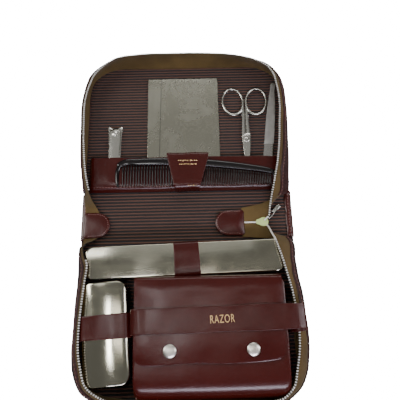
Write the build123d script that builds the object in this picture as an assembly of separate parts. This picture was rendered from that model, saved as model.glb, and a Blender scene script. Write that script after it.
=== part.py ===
from build123d import *
import os

# A zip-around leather grooming case that lies open flat. X runs to the right, Y from the
# base half (near) to the lid half (far), Z up. The origin is on the underside of the case,
# in the middle of the spine. All sizes are in millimetres.

# Case
case_width = 220.0
panel_depth = 157.0
spine_width = 52.0
corner_radius = 38.0
cover_thickness = 2.4
lining_thickness = 0.8
lining_inset = 2.0
fold_gap = 0.1
fold_y = spine_width / 2
inside_z = cover_thickness + lining_thickness

# Walls: a leather strip, then zip tape, then the row of zip teeth on its edge
base_wall_top = 32.0
lid_wall_top = 26.0
gusset_thickness = 1.6
tape_thickness = 1.0
chain_width = 2.6
chain_height = 2.4
tape_share = 0.45
wall_start = 4.0
binding_width = 6.0
binding_top = 4.6
binding_end_gap = 1.7

# Straps and pocket
strap_thickness = 1.1
strap_gap = 0.5
pocket_left, pocket_right = -105.0, 100.0
pocket_near, pocket_far = 26.6, 65.0
pocket_bottom, pocket_top = 8.4, 9.4

# Zip ends on the spine
zip_y = -9.5
tab_radius = 13.4
tape_low, tape_high = 4.8, 5.6
stub_start, stub_end = 59.4, 72.0
stop_outer, stop_inner = -103.8, -88.0
slider_start, slider_end = 70.5, 84.3
slider_width = 9.4

# Long metal box for a toothbrush
box_length, box_width, box_radius = 193.8, 32.0, 7.2
box_centre, box_angle = (-2.5, -50.0), 1.4
box_bottom, box_split, box_top = 3.4, 13.0, 25.6
box_tray_top = 17.0
box_wall = 0.7
box_fit = 0.3

# Metal-backed brush
brush_width, brush_length, brush_radius = 41.0, 93.0, 10.0
brush_centre, brush_angle = (-76.8, -118.6), 4.0
bristle_bottom, bristle_top, block_top, back_top = 3.5, 19.0, 24.0, 29.4

# Pouch with a snap flap
pouch_left, pouch_right = -50.0, 91.5
pouch_near, pouch_far = -174.0, -70.0
pouch_bottom, pouch_top = 3.5, 34.4
pouch_wall = 2.2
mouth_near = -108.0
flap_bottom, flap_top = 36.2, 38.0
flap_near, flap_radius = -147.0, 11.0
snap_places = ((-16.5, -135.5), (58.5, -135.5))
snap_radius = 6.6

# Tools in the lid
mirror_left, mirror_right, mirror_near, mirror_far = -42.6, 37.0, 32.0, 164.5
plate_bottom, mirror_top = 3.4, 4.9
comb_left, comb_right = -75.0, 96.0
comb_bottom, comb_top = 9.7, 12.7
scissors_pivot = (66.8, 84.0)
scissors_low, scissors_split, scissors_high = 5.2, 6.6, 8.0
layer_gap = 0.1
ring_half_width, ring_half_height, ring_wire = 12.7, 17.6, 2.6
blade_length = 50.0
file_length, file_width, file_angle = 124.0, 10.6, -7.3
file_start = (85.6, 34.0)
file_top = 4.8
clipper_x, clipper_near, clipper_far = -78.2, 43.0, 102.8
clipper_pin_y = 94.2
leaf_thickness = 1.2
lever_bottom, lever_top = 6.9, 8.1


def box_between(x0, x1, y0, y1, z0, z1):
    """A block given by its limits."""
    centre = Pos((x0 + x1) / 2, (y0 + y1) / 2, (z0 + z1) / 2)
    return centre * Box(x1 - x0, y1 - y0, z1 - z0)


def plate(points, z0, z1):
    """A flat plate with a polygon for its outline."""
    return extrude(Pos(0, 0, z0) * make_face(Polyline(*points, close=True)), z1 - z0)


def disc(x, y, radius, z0, z1):
    """An upright cylinder given by its centre and its two levels."""
    return Pos(x, y, (z0 + z1) / 2) * Cylinder(radius, z1 - z0)


def rounded_plate(width, length, radius, z0, z1):
    """A plate with rounded corners, centred on the Z axis."""
    return extrude(Pos(0, 0, z0) * RectangleRounded(width, length, radius), z1 - z0)


def placed(shape, centre, angle):
    """The shape turned about Z and moved to its centre."""
    return Pos(centre[0], centre[1], 0) * Rot(0, 0, angle) * shape


def band_section(path, thickness):
    """The outline of a strip: the path, and the path shifted to its left with mitred corners."""
    points = [Vector(a, b) for a, b in path]
    shifted = []
    for index, point in enumerate(points):
        before = points[max(index - 1, 0)]
        after = points[min(index + 1, len(points) - 1)]
        into = (point - before).normalized() if index > 0 else (after - point).normalized()
        out = (after - point).normalized() if index < len(points) - 1 else into
        normal_in = Vector(-into.Y, into.X)
        normal_out = Vector(-out.Y, out.X)
        middle = (normal_in + normal_out).normalized()
        shifted.append(point + middle * (thickness / middle.dot(normal_in)))
    return [(p.X, p.Y) for p in points + shifted[::-1]]


def strap_along_x(path, thickness, y0, y1):
    """A strap whose path is given in X and Z, with its width from y0 to y1."""
    outline = [Vector(x, y1, z) for x, z in band_section(path, thickness)]
    face = make_face(Polyline(*outline, close=True))
    return extrude(face, y1 - y0, dir=(0, -1, 0))


def strap_along_y(path, thickness, x0, x1):
    """A strap whose path is given in Y and Z, with its width from x0 to x1."""
    outline = [Vector(x0, y, z) for y, z in band_section(path, thickness)]
    face = make_face(Polyline(*outline, close=True))
    return extrude(face, x1 - x0, dir=(1, 0, 0))


# Case halves. Each is drawn as the lid half, and the base half is the same turned by 180.


def half_slab(z0, z1, inset, start):
    """A slab with the lid half's outline, drawn in by the inset, from start past the fold."""
    far = fold_y + panel_depth - inset
    near = fold_y - 2 * corner_radius
    outline = RectangleRounded(case_width - 2 * inset, far - near, corner_radius - inset)
    slab = extrude(Pos(0, (far + near) / 2, z0) * outline, z1 - z0)
    keep = box_between(-case_width, case_width, fold_y + start, far + 1, z0 - 1, z1 + 1)
    return slab & keep


def half_wall(z0, z1, inset, thickness):
    """A wall round the three free sides of a half."""
    outer = half_slab(z0, z1, inset, wall_start)
    return outer - half_slab(z0 - 1, z1 + 1, inset + thickness, wall_start - 1)


def as_base(shape):
    return Rot(0, 0, 180) * shape


def half_parts(name, wall_top, turn):
    """Cover, lining, gusset, tape and teeth of one half."""
    tape_top = wall_top - chain_height
    tape_bottom = cover_thickness + (tape_top - cover_thickness) * tape_share
    parts = {
        "cover": half_slab(0, cover_thickness, 0, fold_gap),
        "lining": half_slab(cover_thickness, inside_z, lining_inset, fold_gap),
        "gusset": half_wall(cover_thickness, tape_bottom, 0, gusset_thickness),
        "zip_tape": half_wall(tape_bottom, tape_top, 0.4, tape_thickness),
        "zip_teeth": half_wall(tape_top, wall_top, 0.2, chain_width),
    }
    return {f"{name}_{key}": turn(shape) for key, shape in parts.items()}


def spine_parts():
    half_x = case_width / 2
    half_y = fold_y - fold_gap
    lining_x = half_x - binding_width
    parts = {
        "spine_cover": box_between(-half_x, half_x, -half_y, half_y, 0, cover_thickness),
        "spine_lining": box_between(-lining_x, lining_x, -half_y, half_y, cover_thickness, inside_z),
    }
    for name, side in (("left", -1), ("right", 1)):
        edges = sorted((side * lining_x, side * half_x))
        end_y = fold_y - binding_end_gap
        parts[f"spine_binding_{name}"] = box_between(*edges, -end_y, end_y, cover_thickness, binding_top)
    return parts


# Zip ends


def end_tab(round_x, straight_x, z0, z1):
    """A leather tab with one round end and one straight end."""
    centre_x = round_x + tab_radius * (1 if straight_x > round_x else -1)
    x0, x1 = sorted((centre_x, straight_x))
    body = box_between(x0, x1, zip_y - tab_radius, zip_y + tab_radius, z0, z1)
    return body + disc(centre_x, zip_y, tab_radius, z0, z1)


def bridge(near_quad, far_quad):
    """A strip of tape that climbs from the spine to the end of a wall."""
    wires = [Wire.make_polygon([Vector(*p) for p in quad], close=True) for quad in (near_quad, far_quad)]
    return Solid.make_loft(wires, ruled=True)


def bridge_parts():
    """Four strips that join the two zip ends to the four wall ends."""
    wall_x = case_width / 2 - 1.4
    wall_y = fold_y + wall_start - 0.2
    rise = {"lid": (1, lid_wall_top - chain_height), "base": (-1, base_wall_top - chain_height)}
    parts = {}
    for half, (side, top) in rise.items():
        edge_y = side * wall_y
        tab_edge = zip_y + side * (tab_radius + 0.3)
        slider_edge, tape_edge = zip_y + side * 3.8, zip_y + side * 14.6
        spine_lines = {
            "left": (-1, ((stop_inner, tab_edge), (stop_outer, tab_edge))),
            "right": (1, ((79.4, slider_edge), (79.4, tape_edge))),
        }
        for name, (x_side, line) in spine_lines.items():
            spine_quad = [(*place, tape_low) for place in line]
            spine_quad += [(*place, tape_high) for place in line[::-1]]
            outside, inside = x_side * wall_x, x_side * (wall_x - tape_thickness)
            wall_line = ((outside, top), (outside, top - 9.0), (inside, top - 9.0), (inside, top))
            wall_quad = [(x, edge_y, z) for x, z in wall_line]
            parts[f"zip_bridge_{half}_{name}"] = bridge(spine_quad, wall_quad)
    return parts


def zip_end_parts():
    slot = box_between(49, 61, -26, 8, tape_low - 0.1, tape_high + 0.1)
    notch = plate([(66, zip_y), (80, zip_y - 3.9), (80, zip_y + 3.9)], tape_low - 1, tape_high + 1)
    outline = [(50, zip_y - 12), (50, zip_y + 12), (79, zip_y + 15.5), (79, zip_y - 15.5)]
    stub = box_between(stub_start, stub_end, zip_y - 2.4, zip_y + 2.4, tape_high, tape_high + 0.8)
    return {
        "zip_end_tab": end_tab(29.2, 59.2, 3.4, 7.0) - slot,
        "zip_end_tape": plate(outline, tape_low, tape_high) - notch,
        "zip_closed_teeth": stub,
        "zip_stop_tab": end_tab(-79.8, -107.0, tape_high + 0.1, 7.4),
        "zip_stop_tape": box_between(stop_outer, stop_inner, zip_y - 13.5, zip_y + 13.5, tape_low, tape_high),
    }


def slider():
    """Two plates on a post, open between them for the teeth and the tape."""
    half = slider_width / 2
    low = box_between(slider_start, slider_end, zip_y - half, zip_y + half, 3.5, 4.6)
    high = box_between(slider_start, slider_end, zip_y - half, zip_y + half, 6.6, 7.5)
    post = box_between(79.6, 82.6, zip_y - 1.4, zip_y + 1.4, 4.6, 6.6)
    lug = box_between(81.2, 84.3, zip_y + 2.2, zip_y + 4.2, 7.5, 8.2)
    return low + high + post + lug


def puller():
    """A flat pull, hung from the slider's lug and lying away from it."""
    outline = [(-1.8, 0.3), (1.8, 0.3), (2.6, 8.0), (2.6, 17.0), (0, 19.0), (-2.6, 17.0), (-2.6, 8.0)]
    pull = plate(outline, 6.0, 7.2) - disc(0, 3.2, 1.1, 5, 8)
    return Pos(84.9, zip_y + 5.2, 0) * Rot(0, 0, -45) * pull


# Straps


def strap_parts():
    box_y = (box_centre[1] - box_width / 2 - strap_gap, box_centre[1] + box_width / 2 + strap_gap)
    box_path = [(box_y[0], inside_z), (box_y[0], box_top + strap_gap), (box_y[1], box_top + strap_gap)]
    box_path.append((box_y[1], inside_z))
    brush_x = (brush_centre[0] - 23.0, brush_centre[0] + 22.4)
    brush_path = [(brush_x[0], inside_z), (brush_x[0], back_top - 3), (brush_x[0] + 4, back_top + strap_gap)]
    brush_path += [(brush_x[1] - 4, back_top + strap_gap), (brush_x[1], back_top - 3), (brush_x[1], inside_z)]
    left = pouch_left - 1.2
    over = flap_top + strap_gap
    band_path = [(left, inside_z), (left, over - 0.6), (left + 0.6, over), (97, over), (106.0, over - 1.2)]
    band_path += [(107.6, over - 3), (106.0, over - 4.6), (98, over - 5), (95, over - 9), (95, inside_z)]
    return {
        "box_strap": strap_along_y(box_path, strap_thickness, -12.5, 12.5),
        "brush_strap": strap_along_x(brush_path, strap_thickness, -126.0, -101.5),
        "pouch_band": strap_along_x(band_path, strap_thickness, -122.5, -96.0),
    }


def tool_pocket():
    """A leather band sewn down at its near edge and both ends, open towards the far side."""
    section = [(pocket_near, inside_z), (pocket_near + 1.4, inside_z), (pocket_near + 6.8, pocket_bottom)]
    section += [(pocket_far, pocket_bottom), (pocket_far, pocket_top), (pocket_near + 6.4, pocket_top)]
    face = make_face(Polyline(*[Vector(pocket_left, y, z) for y, z in section], close=True))
    band = extrude(face, pocket_right - pocket_left, dir=(1, 0, 0))
    ends = [(pocket_left, pocket_left + 1.2), (pocket_right - 1.2, pocket_right)]
    for x0, x1 in ends:
        band += box_between(x0, x1, pocket_near + 6.6, pocket_far, inside_z, pocket_bottom)
    return band


def comb_tab():
    """A leather tongue that comes out of the pocket, over the comb and down in front of it."""
    path = [(26.8, 9.8), (28.0, 12.9), (31.0, 13.2), (66.0, 13.2)]
    path += [(67.2, 12.2), (67.2, 8.6), (66.0, 7.1), (54.0, 7.1)]
    tongue = strap_along_y(path, 0.9, -21.0, 24.0)
    trim = [(-21.0, 70.0), (-21.0, 64.0), (-12.0, 24.0), (13.0, 24.0), (24.0, 64.0), (24.0, 70.0)]
    return tongue & plate(trim, 0, 20)


# Base contents


def long_box():
    inset = 2 * (box_wall + box_fit)
    tray = rounded_plate(box_length - inset, box_width - inset, 6.2, box_bottom, box_tray_top)
    tray_inset = 2 * (2 * box_wall + box_fit)
    tray -= rounded_plate(box_length - tray_inset, box_width - tray_inset, 5.5, box_bottom + box_wall, 60)
    lid = rounded_plate(box_length, box_width, box_radius, box_split, box_top)
    lid = fillet(lid.faces().sort_by(Axis.Z)[-1].edges(), 2.4)
    lid_inset = 2 * box_wall
    lid -= rounded_plate(box_length - lid_inset, box_width - lid_inset, 6.5, 0, box_top - 1.0 - box_wall)
    return {
        "toothbrush_box_tray": placed(tray, box_centre, box_angle),
        "toothbrush_box_lid": placed(lid, box_centre, box_angle),
    }


def brush():
    splay = 2.0
    tips = RectangleRounded(brush_width + splay, brush_length + splay, brush_radius)
    roots = RectangleRounded(brush_width - 5, brush_length - 5, brush_radius - 2.5)
    bristles = loft([Pos(0, 0, bristle_bottom) * tips, Pos(0, 0, bristle_top) * roots])
    block = rounded_plate(brush_width - 1.6, brush_length - 1.6, brush_radius - 0.8, bristle_top, block_top)
    back = rounded_plate(brush_width, brush_length, brush_radius, block_top, back_top)
    back = fillet(back.faces().sort_by(Axis.Z)[-1].edges(), 4.6)
    parts = {"brush_bristles": bristles, "brush_block": block, "brush_back": back}
    return {name: placed(shape, brush_centre, brush_angle) for name, shape in parts.items()}


def pouch_body():
    """An empty pouch with soft edges and a mouth in its top, under the flap."""
    outer = box_between(pouch_left, pouch_right, pouch_near, pouch_far, pouch_bottom, pouch_top)
    near_edge = outer.edges().filter_by(Axis.X).sort_by(Axis.Y)[:2].sort_by(Axis.Z)[-1]
    outer = fillet(near_edge, 13)
    outer = fillet(outer.edges().filter_by(Axis.Z), 5)
    inner = box_between(
        pouch_left + pouch_wall,
        pouch_right - pouch_wall,
        pouch_near + pouch_wall,
        pouch_far - pouch_wall,
        pouch_bottom + pouch_wall,
        pouch_top - pouch_wall,
    )
    near_edge = inner.edges().filter_by(Axis.X).sort_by(Axis.Y)[:2].sort_by(Axis.Z)[-1]
    inner = fillet(near_edge, 11)
    inner = fillet(inner.edges().filter_by(Axis.Z), 3)
    mouth_x = (pouch_left + 6, pouch_right - 6)
    mouth = box_between(*mouth_x, mouth_near, pouch_far - 3.6, pouch_top - 4, pouch_top + 1)
    rim_x = (pouch_left + 5, pouch_right - 5)
    rim = box_between(*rim_x, pouch_far - 2.6, pouch_far, pouch_top, flap_bottom - 0.2)
    return outer - inner - mouth + rim


def flap():
    low = Pos(0, 0, flap_bottom)
    width = pouch_right - pouch_left
    length = pouch_far - flap_near
    outline = Rectangle(width, length)
    outline = fillet(outline.vertices().sort_by(Axis.Y)[:2], flap_radius)
    centre = Pos((pouch_left + pouch_right) / 2, (pouch_far + flap_near) / 2, 0)
    return extrude(low * centre * outline, flap_top - flap_bottom)


def snap_parts():
    """Two snap fasteners: a domed cap and a socket on the flap, and a stud on the pouch."""
    caps, sockets, studs = [], [], []
    for x, y in snap_places:
        cap = disc(x, y, snap_radius, flap_top, flap_top + 1.9)
        caps.append(fillet(cap.faces().sort_by(Axis.Z)[-1].edges(), 1.8))
        sockets.append(disc(x, y, 5.0, flap_bottom - 1.3, flap_bottom) - disc(x, y, 2.3, 30, 40))
        stud = disc(x, y, 4.6, pouch_top, pouch_top + 0.35)
        studs.append(stud + disc(x, y, 2.0, pouch_top, pouch_top + 1.5))
    return {"snap_caps": caps, "snap_sockets": sockets, "snap_studs": studs}


# Lid contents


def comb():
    """A tapered comb: coarse teeth on its left half, fine teeth on its right half, and an end guard."""

    def spine_top(x):
        share = (x - comb_left) / (comb_right - comb_left)
        return 62.8 - 16.3 * share + 13.0 * share * (1 - share)

    def tip(x):
        return 30.4 - 2.0 * (x - comb_left) / (comb_right - comb_left)

    spine_height = 8.4
    guard = 6.0
    middle = 8.0
    outline = [(comb_left, tip(comb_left) + 2), (comb_left + 2, tip(comb_left))]
    x = comb_left + guard
    outline += [(x, tip(x)), (x, spine_top(x) - spine_height)]
    for pitch, tooth, stop in ((2.9, 1.5, middle), (1.8, 0.95, comb_right - guard)):
        while x + pitch < stop:
            x += pitch - tooth
            outline += [(x, spine_top(x) - spine_height), (x, tip(x))]
            x += tooth
            outline += [(x, tip(x)), (x, spine_top(x) - spine_height)]
        x += 0.4
        outline.append((x, spine_top(x) - spine_height))
    outline += [(x, tip(x)), (comb_right - 2, tip(x)), (comb_right, tip(x) + 2)]
    steps = 12
    for step in range(steps + 1):
        top_x = comb_right - (comb_right - comb_left) * step / steps
        outline.append((top_x, spine_top(top_x)))
    return plate(outline, comb_bottom, comb_top)


def ring(x, y):
    """A finger ring of flat oval wire."""
    outer = Ellipse(ring_half_width, ring_half_height)
    inner = Ellipse(ring_half_width - ring_wire, ring_half_height - ring_wire)
    return extrude(Pos(x, y, scissors_low) * (outer - inner), scissors_high - scissors_low)


def scissors_half(side, low, high, hole_radius):
    """One half: its ring and shank on one side, and its blade on the other side of the pivot."""
    ring_x, ring_y = side * 13.3, 47.6
    half = ring(ring_x, ring_y)
    shank = [(0.3, 8.5), (4.4, 8.5), (4.4, 22), (11.0, 31.2), (8.6, 33.2), (3.0, 37.0), (0.3, 30.0)]
    half += plate([(side * x, y) for x, y in shank], scissors_low, scissors_high)
    neck = [(0.3, 10.5), (4.4, 10.5), (4.4, 0), (-4.0, 0), (-2.4, 6.0), (0.3, 8.5)]
    half += plate([(side * x, y) for x, y in neck], low, high)
    half += disc(0, 0, 5.2, low, high)
    blade = [(3.4, 0), (-4.2, 0), (-3.6, -20), (-0.6, -blade_length), (0.6, -blade_length), (1.8, -20)]
    half += plate([(side * x, y) for x, y in blade], low, high)
    half -= disc(0, 0, hole_radius, 0, 20)
    return Pos(*scissors_pivot, 0) * half


def scissors_parts():
    screw = disc(0, 0, 2.0, scissors_low, scissors_high + 0.1) + disc(0, 0, 3.1, scissors_high + 0.05, 8.7)
    return {
        "scissors_left": scissors_half(-1, scissors_low, scissors_split - layer_gap, 2.06),
        "scissors_right": scissors_half(1, scissors_split + layer_gap, scissors_high, 2.02),
        "scissors_screw": Pos(*scissors_pivot, 0) * screw,
    }


def nail_file():
    half = file_width / 2
    outline = [(-half + 1, 0), (half - 1, 0), (half, 30), (2.9, 110), (0.6, file_length), (-0.6, file_length)]
    outline += [(-2.9, 110), (-half, 30)]
    return placed(plate(outline, plate_bottom, file_top), file_start, file_angle)


def clipper_parts():
    """Two spring leaves riveted at their near end, a pin through their far end, and a lever on the pin."""
    far, near = clipper_far - clipper_pin_y, clipper_near - clipper_pin_y
    outline = [(-7.7, far), (-4.0, far - 1.1), (0, far - 1.5), (4.0, far - 1.1), (7.7, far), (7.0, 0)]
    outline += [(6.0, near + 3), (3.0, near), (-3.0, near), (-6.0, near + 3), (-7.0, 0)]
    gap = 0.4
    levels = {"lower": plate_bottom + 0.1, "upper": plate_bottom + 0.1 + leaf_thickness + gap}
    parts = {}
    for name, z in levels.items():
        leaf = plate(outline, z, z + leaf_thickness) - disc(0, 0, 1.9, 0, 20) - disc(0, near + 5, 1.6, 0, 20)
        parts[f"clipper_{name}_leaf"] = leaf
    parts["clipper_rivet"] = disc(0, near + 5, 1.55, levels["lower"], levels["upper"] + leaf_thickness)
    pin = disc(0, 0, 1.5, levels["lower"], lever_top + 0.1)
    parts["clipper_pin"] = pin + disc(0, 0, 2.6, lever_top + 0.1, lever_top + 0.9)
    outline = [(-4.6, 4), (4.6, 4), (4.9, -12), (3.4, -38)]
    outline += [(1.6, -43), (-1.6, -43), (-3.4, -38), (-4.9, -12)]
    parts["clipper_lever"] = plate(outline, lever_bottom, lever_top) - disc(0, 0, 1.56, 0, 20)
    return {name: Pos(clipper_x, clipper_pin_y, 0) * shape for name, shape in parts.items()}


def all_parts():
    parts = {}
    parts.update(half_parts("base", base_wall_top, as_base))
    parts.update(half_parts("lid", lid_wall_top, lambda shape: shape))
    parts.update(spine_parts())
    parts.update(bridge_parts())
    parts.update(zip_end_parts())
    parts["zip_slider"] = slider()
    parts["zip_puller"] = puller()
    parts.update(strap_parts())
    parts["tool_pocket"] = tool_pocket()
    parts["comb_tab"] = comb_tab()
    parts.update(long_box())
    parts.update(brush())
    parts["pouch_body"] = pouch_body()
    parts["pouch_flap"] = flap()
    parts.update(snap_parts())
    mirror_place = (mirror_left, mirror_right, mirror_near, mirror_far)
    parts["mirror"] = box_between(*mirror_place, plate_bottom, mirror_top)
    parts["comb"] = comb()
    parts.update(scissors_parts())
    parts["nail_file"] = nail_file()
    parts.update(clipper_parts())
    return parts


os.makedirs("parts", exist_ok=True)
for node, shape in all_parts().items():
    solids = shape if isinstance(shape, list) else shape.solids()
    body = solids[0] if len(solids) == 1 else Compound(children=list(solids))
    export_step(body, f"parts/{node}.step")
    print(node, len(solids))
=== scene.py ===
import math
import bmesh
import bpy
import numpy as np
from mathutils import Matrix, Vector


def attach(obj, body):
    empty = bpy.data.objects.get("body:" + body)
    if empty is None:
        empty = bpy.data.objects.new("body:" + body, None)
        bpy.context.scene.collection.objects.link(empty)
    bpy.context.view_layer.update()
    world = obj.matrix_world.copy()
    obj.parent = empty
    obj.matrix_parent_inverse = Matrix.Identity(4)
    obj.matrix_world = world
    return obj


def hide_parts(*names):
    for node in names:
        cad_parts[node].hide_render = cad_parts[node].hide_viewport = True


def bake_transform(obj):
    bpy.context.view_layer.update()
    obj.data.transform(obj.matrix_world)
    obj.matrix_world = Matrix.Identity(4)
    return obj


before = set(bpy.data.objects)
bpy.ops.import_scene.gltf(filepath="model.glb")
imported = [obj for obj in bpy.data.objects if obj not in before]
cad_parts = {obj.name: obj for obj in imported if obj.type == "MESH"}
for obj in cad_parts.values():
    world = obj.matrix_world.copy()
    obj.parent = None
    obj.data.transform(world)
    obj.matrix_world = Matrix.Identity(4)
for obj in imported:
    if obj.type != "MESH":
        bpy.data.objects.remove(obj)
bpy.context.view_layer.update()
mm = 0.001  # every size below is in millimetres, and meshes are made in metres


# camera, floor and lights

shot = {"target": (14.0, 18.0, 0.0), "distance": 497.3, "elevation": 72.0, "turn": 1.3, "lens": 41.76}
floorLook = {"size": 6.0, "colour": (0.86, 0.86, 0.85), "glow": 24.0}
lights = {
    # name: (place, size x, size y, power, colour, aimed at)
    "nearPanel": ((0.15, -0.8, 0.8), 0.7, 0.22, 9.0, (0.88, 0.85, 1.0), (0.02, -0.05, 0)),
    "window": ((-1.0, 0.35, 0.95), 0.35, 0.9, 9.0, (1.0, 0.99, 0.95), (-0.02, 0, 0)),
    "farPanel": ((0.15, 1.4, 0.95), 1.2, 0.35, 6.0, (1.0, 0.99, 0.96), (0, 0, 0)),
    "ceiling": ((-0.05, 0.62, 1.1), 0.9, 0.76, 0.34, (1.0, 0.98, 0.93), (-0.05, 0.62, 0)),
    "above": ((0.07, -0.03, 1.1), 0.3, 0.14, 0.33, (1.0, 0.95, 0.88), (0.07, -0.03, 0)),
    "rimLine": ((-0.02, 1.1, 1.1), 0.5, 0.08, 0.5, (1.0, 1.0, 1.0), (-0.02, 1.1, 0)),
    "boxPanel": ((-0.1, 0.25, 1.1), 0.6, 0.12, 0.055, (0.95, 1.0, 1.0), (-0.1, 0.235, 0)),
    "strip": ((-0.175, -0.07, 1.05), 0.09, 0.2, 0.8, (1.0, 1.0, 1.0), (-0.175, -0.07, 0)),
    "leftPatch": ((-0.39, 0.3, 1.1), 0.2, 0.2, 0.5, (1.0, 1.0, 0.97), (-0.39, 0.3, 0)),
    "line": ((-0.03, 0.12, 1.1), 0.7, 0.008, 0.004, (1.0, 0.98, 0.85), (-0.03, 0.12, 0)),
    "rightSide": ((1.0, 0.1, 0.9), 0.3, 1.0, 7.0, (0.97, 0.96, 1.0), (0.05, 0, 0)),
}
skyLook = {"colour": (1.0, 0.99, 0.94), "strength": 0.13}


def aimed(obj, place, target):
    # turned so that its -Z axis points from place to target
    obj.location = place
    obj.rotation_euler = (Vector(target) - Vector(place)).to_track_quat("-Z", "Y").to_euler()
    bpy.context.scene.collection.objects.link(obj)


def makeStudio():
    # camera looking down at the open case, area lights from the table above, and a dim even sky
    tilt, turn = math.radians(shot["elevation"]), math.radians(shot["turn"])
    forward = Vector((math.sin(turn) * math.cos(tilt), math.cos(turn) * math.cos(tilt),
                      -math.sin(tilt)))
    target = Vector(shot["target"]) * mm
    camera = bpy.data.objects.new("camera", bpy.data.cameras.new("camera"))
    camera.data.lens = shot["lens"]
    camera.data.clip_start = 0.01
    aimed(camera, target - forward * shot["distance"] * mm, target)
    bpy.context.scene.camera = camera
    for name, (place, sizeX, sizeY, power, colour, target) in lights.items():
        data = bpy.data.lights.new(name, "AREA")
        data.shape, data.size, data.size_y, data.energy = "RECTANGLE", sizeX, sizeY, power
        data.color = colour
        aimed(bpy.data.objects.new(name, data), place, target)
    world = bpy.data.worlds.new("studio")
    world.use_nodes = True
    sky = world.node_tree.nodes["Background"]
    sky.inputs["Color"].default_value = (*skyLook["colour"], 1)
    sky.inputs["Strength"].default_value = skyLook["strength"]
    bpy.context.scene.world = world


# shader maths: one socket of a finish, with arithmetic on it


class Value:
    def __init__(self, finish, socket):
        self.finish, self.socket = finish, socket

    def maths(self, operation, first, second):
        # one Math node on two values or numbers
        return self.finish.node("ShaderNodeMath", {"operation": operation}, {0: first, 1: second})

    def __add__(self, other):
        return self.maths("ADD", self, other)

    def __radd__(self, other):
        return self.maths("ADD", other, self)

    def __sub__(self, other):
        return self.maths("SUBTRACT", self, other)

    def __rsub__(self, other):
        return self.maths("SUBTRACT", other, self)

    def __mul__(self, other):
        return self.maths("MULTIPLY", self, other)

    def __rmul__(self, other):
        return self.maths("MULTIPLY", other, self)

    def __truediv__(self, other):
        return self.maths("DIVIDE", self, other)

    def above(self, low, high):
        # 0 below low and 1 above high, with a soft step between
        settings = {"interpolation_type": "SMOOTHSTEP"}
        return self.finish.node("ShaderNodeMapRange", settings,
                                {"Value": self, "From Min": low, "From Max": high})

    def wave(self, pitch):
        # from 0 to 1 and back over each pitch
        angle = self * (2 * math.pi / pitch)
        return self.maths("COSINE", angle, 0) * 0.5 + 0.5


class Finish:
    # a material with a Principled shader, built from expressions
    def __init__(self, name, **constants):
        self.material = bpy.data.materials.new(name)
        self.material.use_nodes = True
        self.tree = self.material.node_tree
        self.shader = self.tree.nodes["Principled BSDF"]
        self.set(**constants)

    def set(self, **values):
        names = {"colour": "Base Color", "rough": "Roughness", "metal": "Metallic",
                 "coat": "Coat Weight"}
        names.update({"coatRough": "Coat Roughness", "normal": "Normal", "sheen": "Sheen Weight"})
        names.update({"specular": "Specular IOR Level", "glow": "Emission Color"})
        names.update({"glowStrength": "Emission Strength", "sheenRough": "Sheen Roughness"})
        for key, value in values.items():
            self.feed(self.shader.inputs[names[key]], value)

    def feed(self, socket, value):
        if isinstance(value, Value):
            self.tree.links.new(value.socket, socket)
        elif isinstance(value, (tuple, list)) and len(value) == 3 and socket.type == "RGBA":
            socket.default_value = (*value, 1)
        else:
            socket.default_value = value

    def node(self, kind, settings=(), inputs=(), output=0):
        made = self.tree.nodes.new(kind)
        for key, value in dict(settings).items():
            setattr(made, key, value)
        for key, value in dict(inputs).items():
            self.feed(made.inputs[key], value)
        return Value(self, made.outputs[output])

    def place(self, kind="Object"):
        # coordinates of the point being shaded
        return self.node("ShaderNodeTexCoord", output=kind)

    def axis(self, vector, name):
        return self.node("ShaderNodeSeparateXYZ", (), {0: vector}, name)

    def scaled(self, vector, scale, turn=(0, 0, 0)):
        return self.node("ShaderNodeMapping", {}, {"Vector": vector, "Scale": scale, "Rotation": turn})

    def noise(self, vector, scale, detail=3.0, rough=0.55, distort=0.0):
        inputs = {"Vector": vector, "Scale": scale, "Detail": detail, "Roughness": rough,
                  "Distortion": distort}
        return self.node("ShaderNodeTexNoise", {}, inputs)

    def cells(self, vector, scale, feature="SMOOTH_F1"):
        # distance to the nearest of scattered points, blended between them when smooth
        inputs = {"Vector": vector, "Scale": scale}
        if feature == "SMOOTH_F1":
            inputs["Smoothness"] = 0.4
        return self.node("ShaderNodeTexVoronoi", {"feature": feature}, inputs)

    def mix(self, factor, first, second):
        # inputs 6 and 7 of a Mix node are its two colours
        made = self.node("ShaderNodeMix", {"data_type": "RGBA"}, {0: factor}, 2)
        self.feed(made.socket.node.inputs[6], first)
        self.feed(made.socket.node.inputs[7], second)
        return made

    def bump(self, height, distance, strength=1.0, under=None):
        inputs = {"Height": height, "Distance": distance, "Strength": strength}
        if under is not None:
            inputs["Normal"] = under
        return self.node("ShaderNodeBump", {}, inputs)

    def noiseShift(self, vector, scale, amount):
        # the vector, moved by up to half the amount each way
        shift = self.node("ShaderNodeTexNoise", {}, {"Vector": vector, "Scale": scale}, "Color")
        centred = self.node("ShaderNodeVectorMath", {"operation": "SUBTRACT"},
                            {0: shift, 1: (0.5, 0.5, 0.5)})
        moved = self.node("ShaderNodeVectorMath", {"operation": "SCALE"}, {0: centred, "Scale": amount})
        return self.node("ShaderNodeVectorMath", {"operation": "ADD"}, {0: vector, 1: moved})


# finishes

leatherLook = {
    "dark": (0.027, 0.0018, 0.0012), "light": (0.056, 0.0054, 0.0035), "worn": (0.11, 0.03, 0.022),
    "grain": 1500.0, "pebble": 620.0, "creases": 24.0,
}


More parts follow.
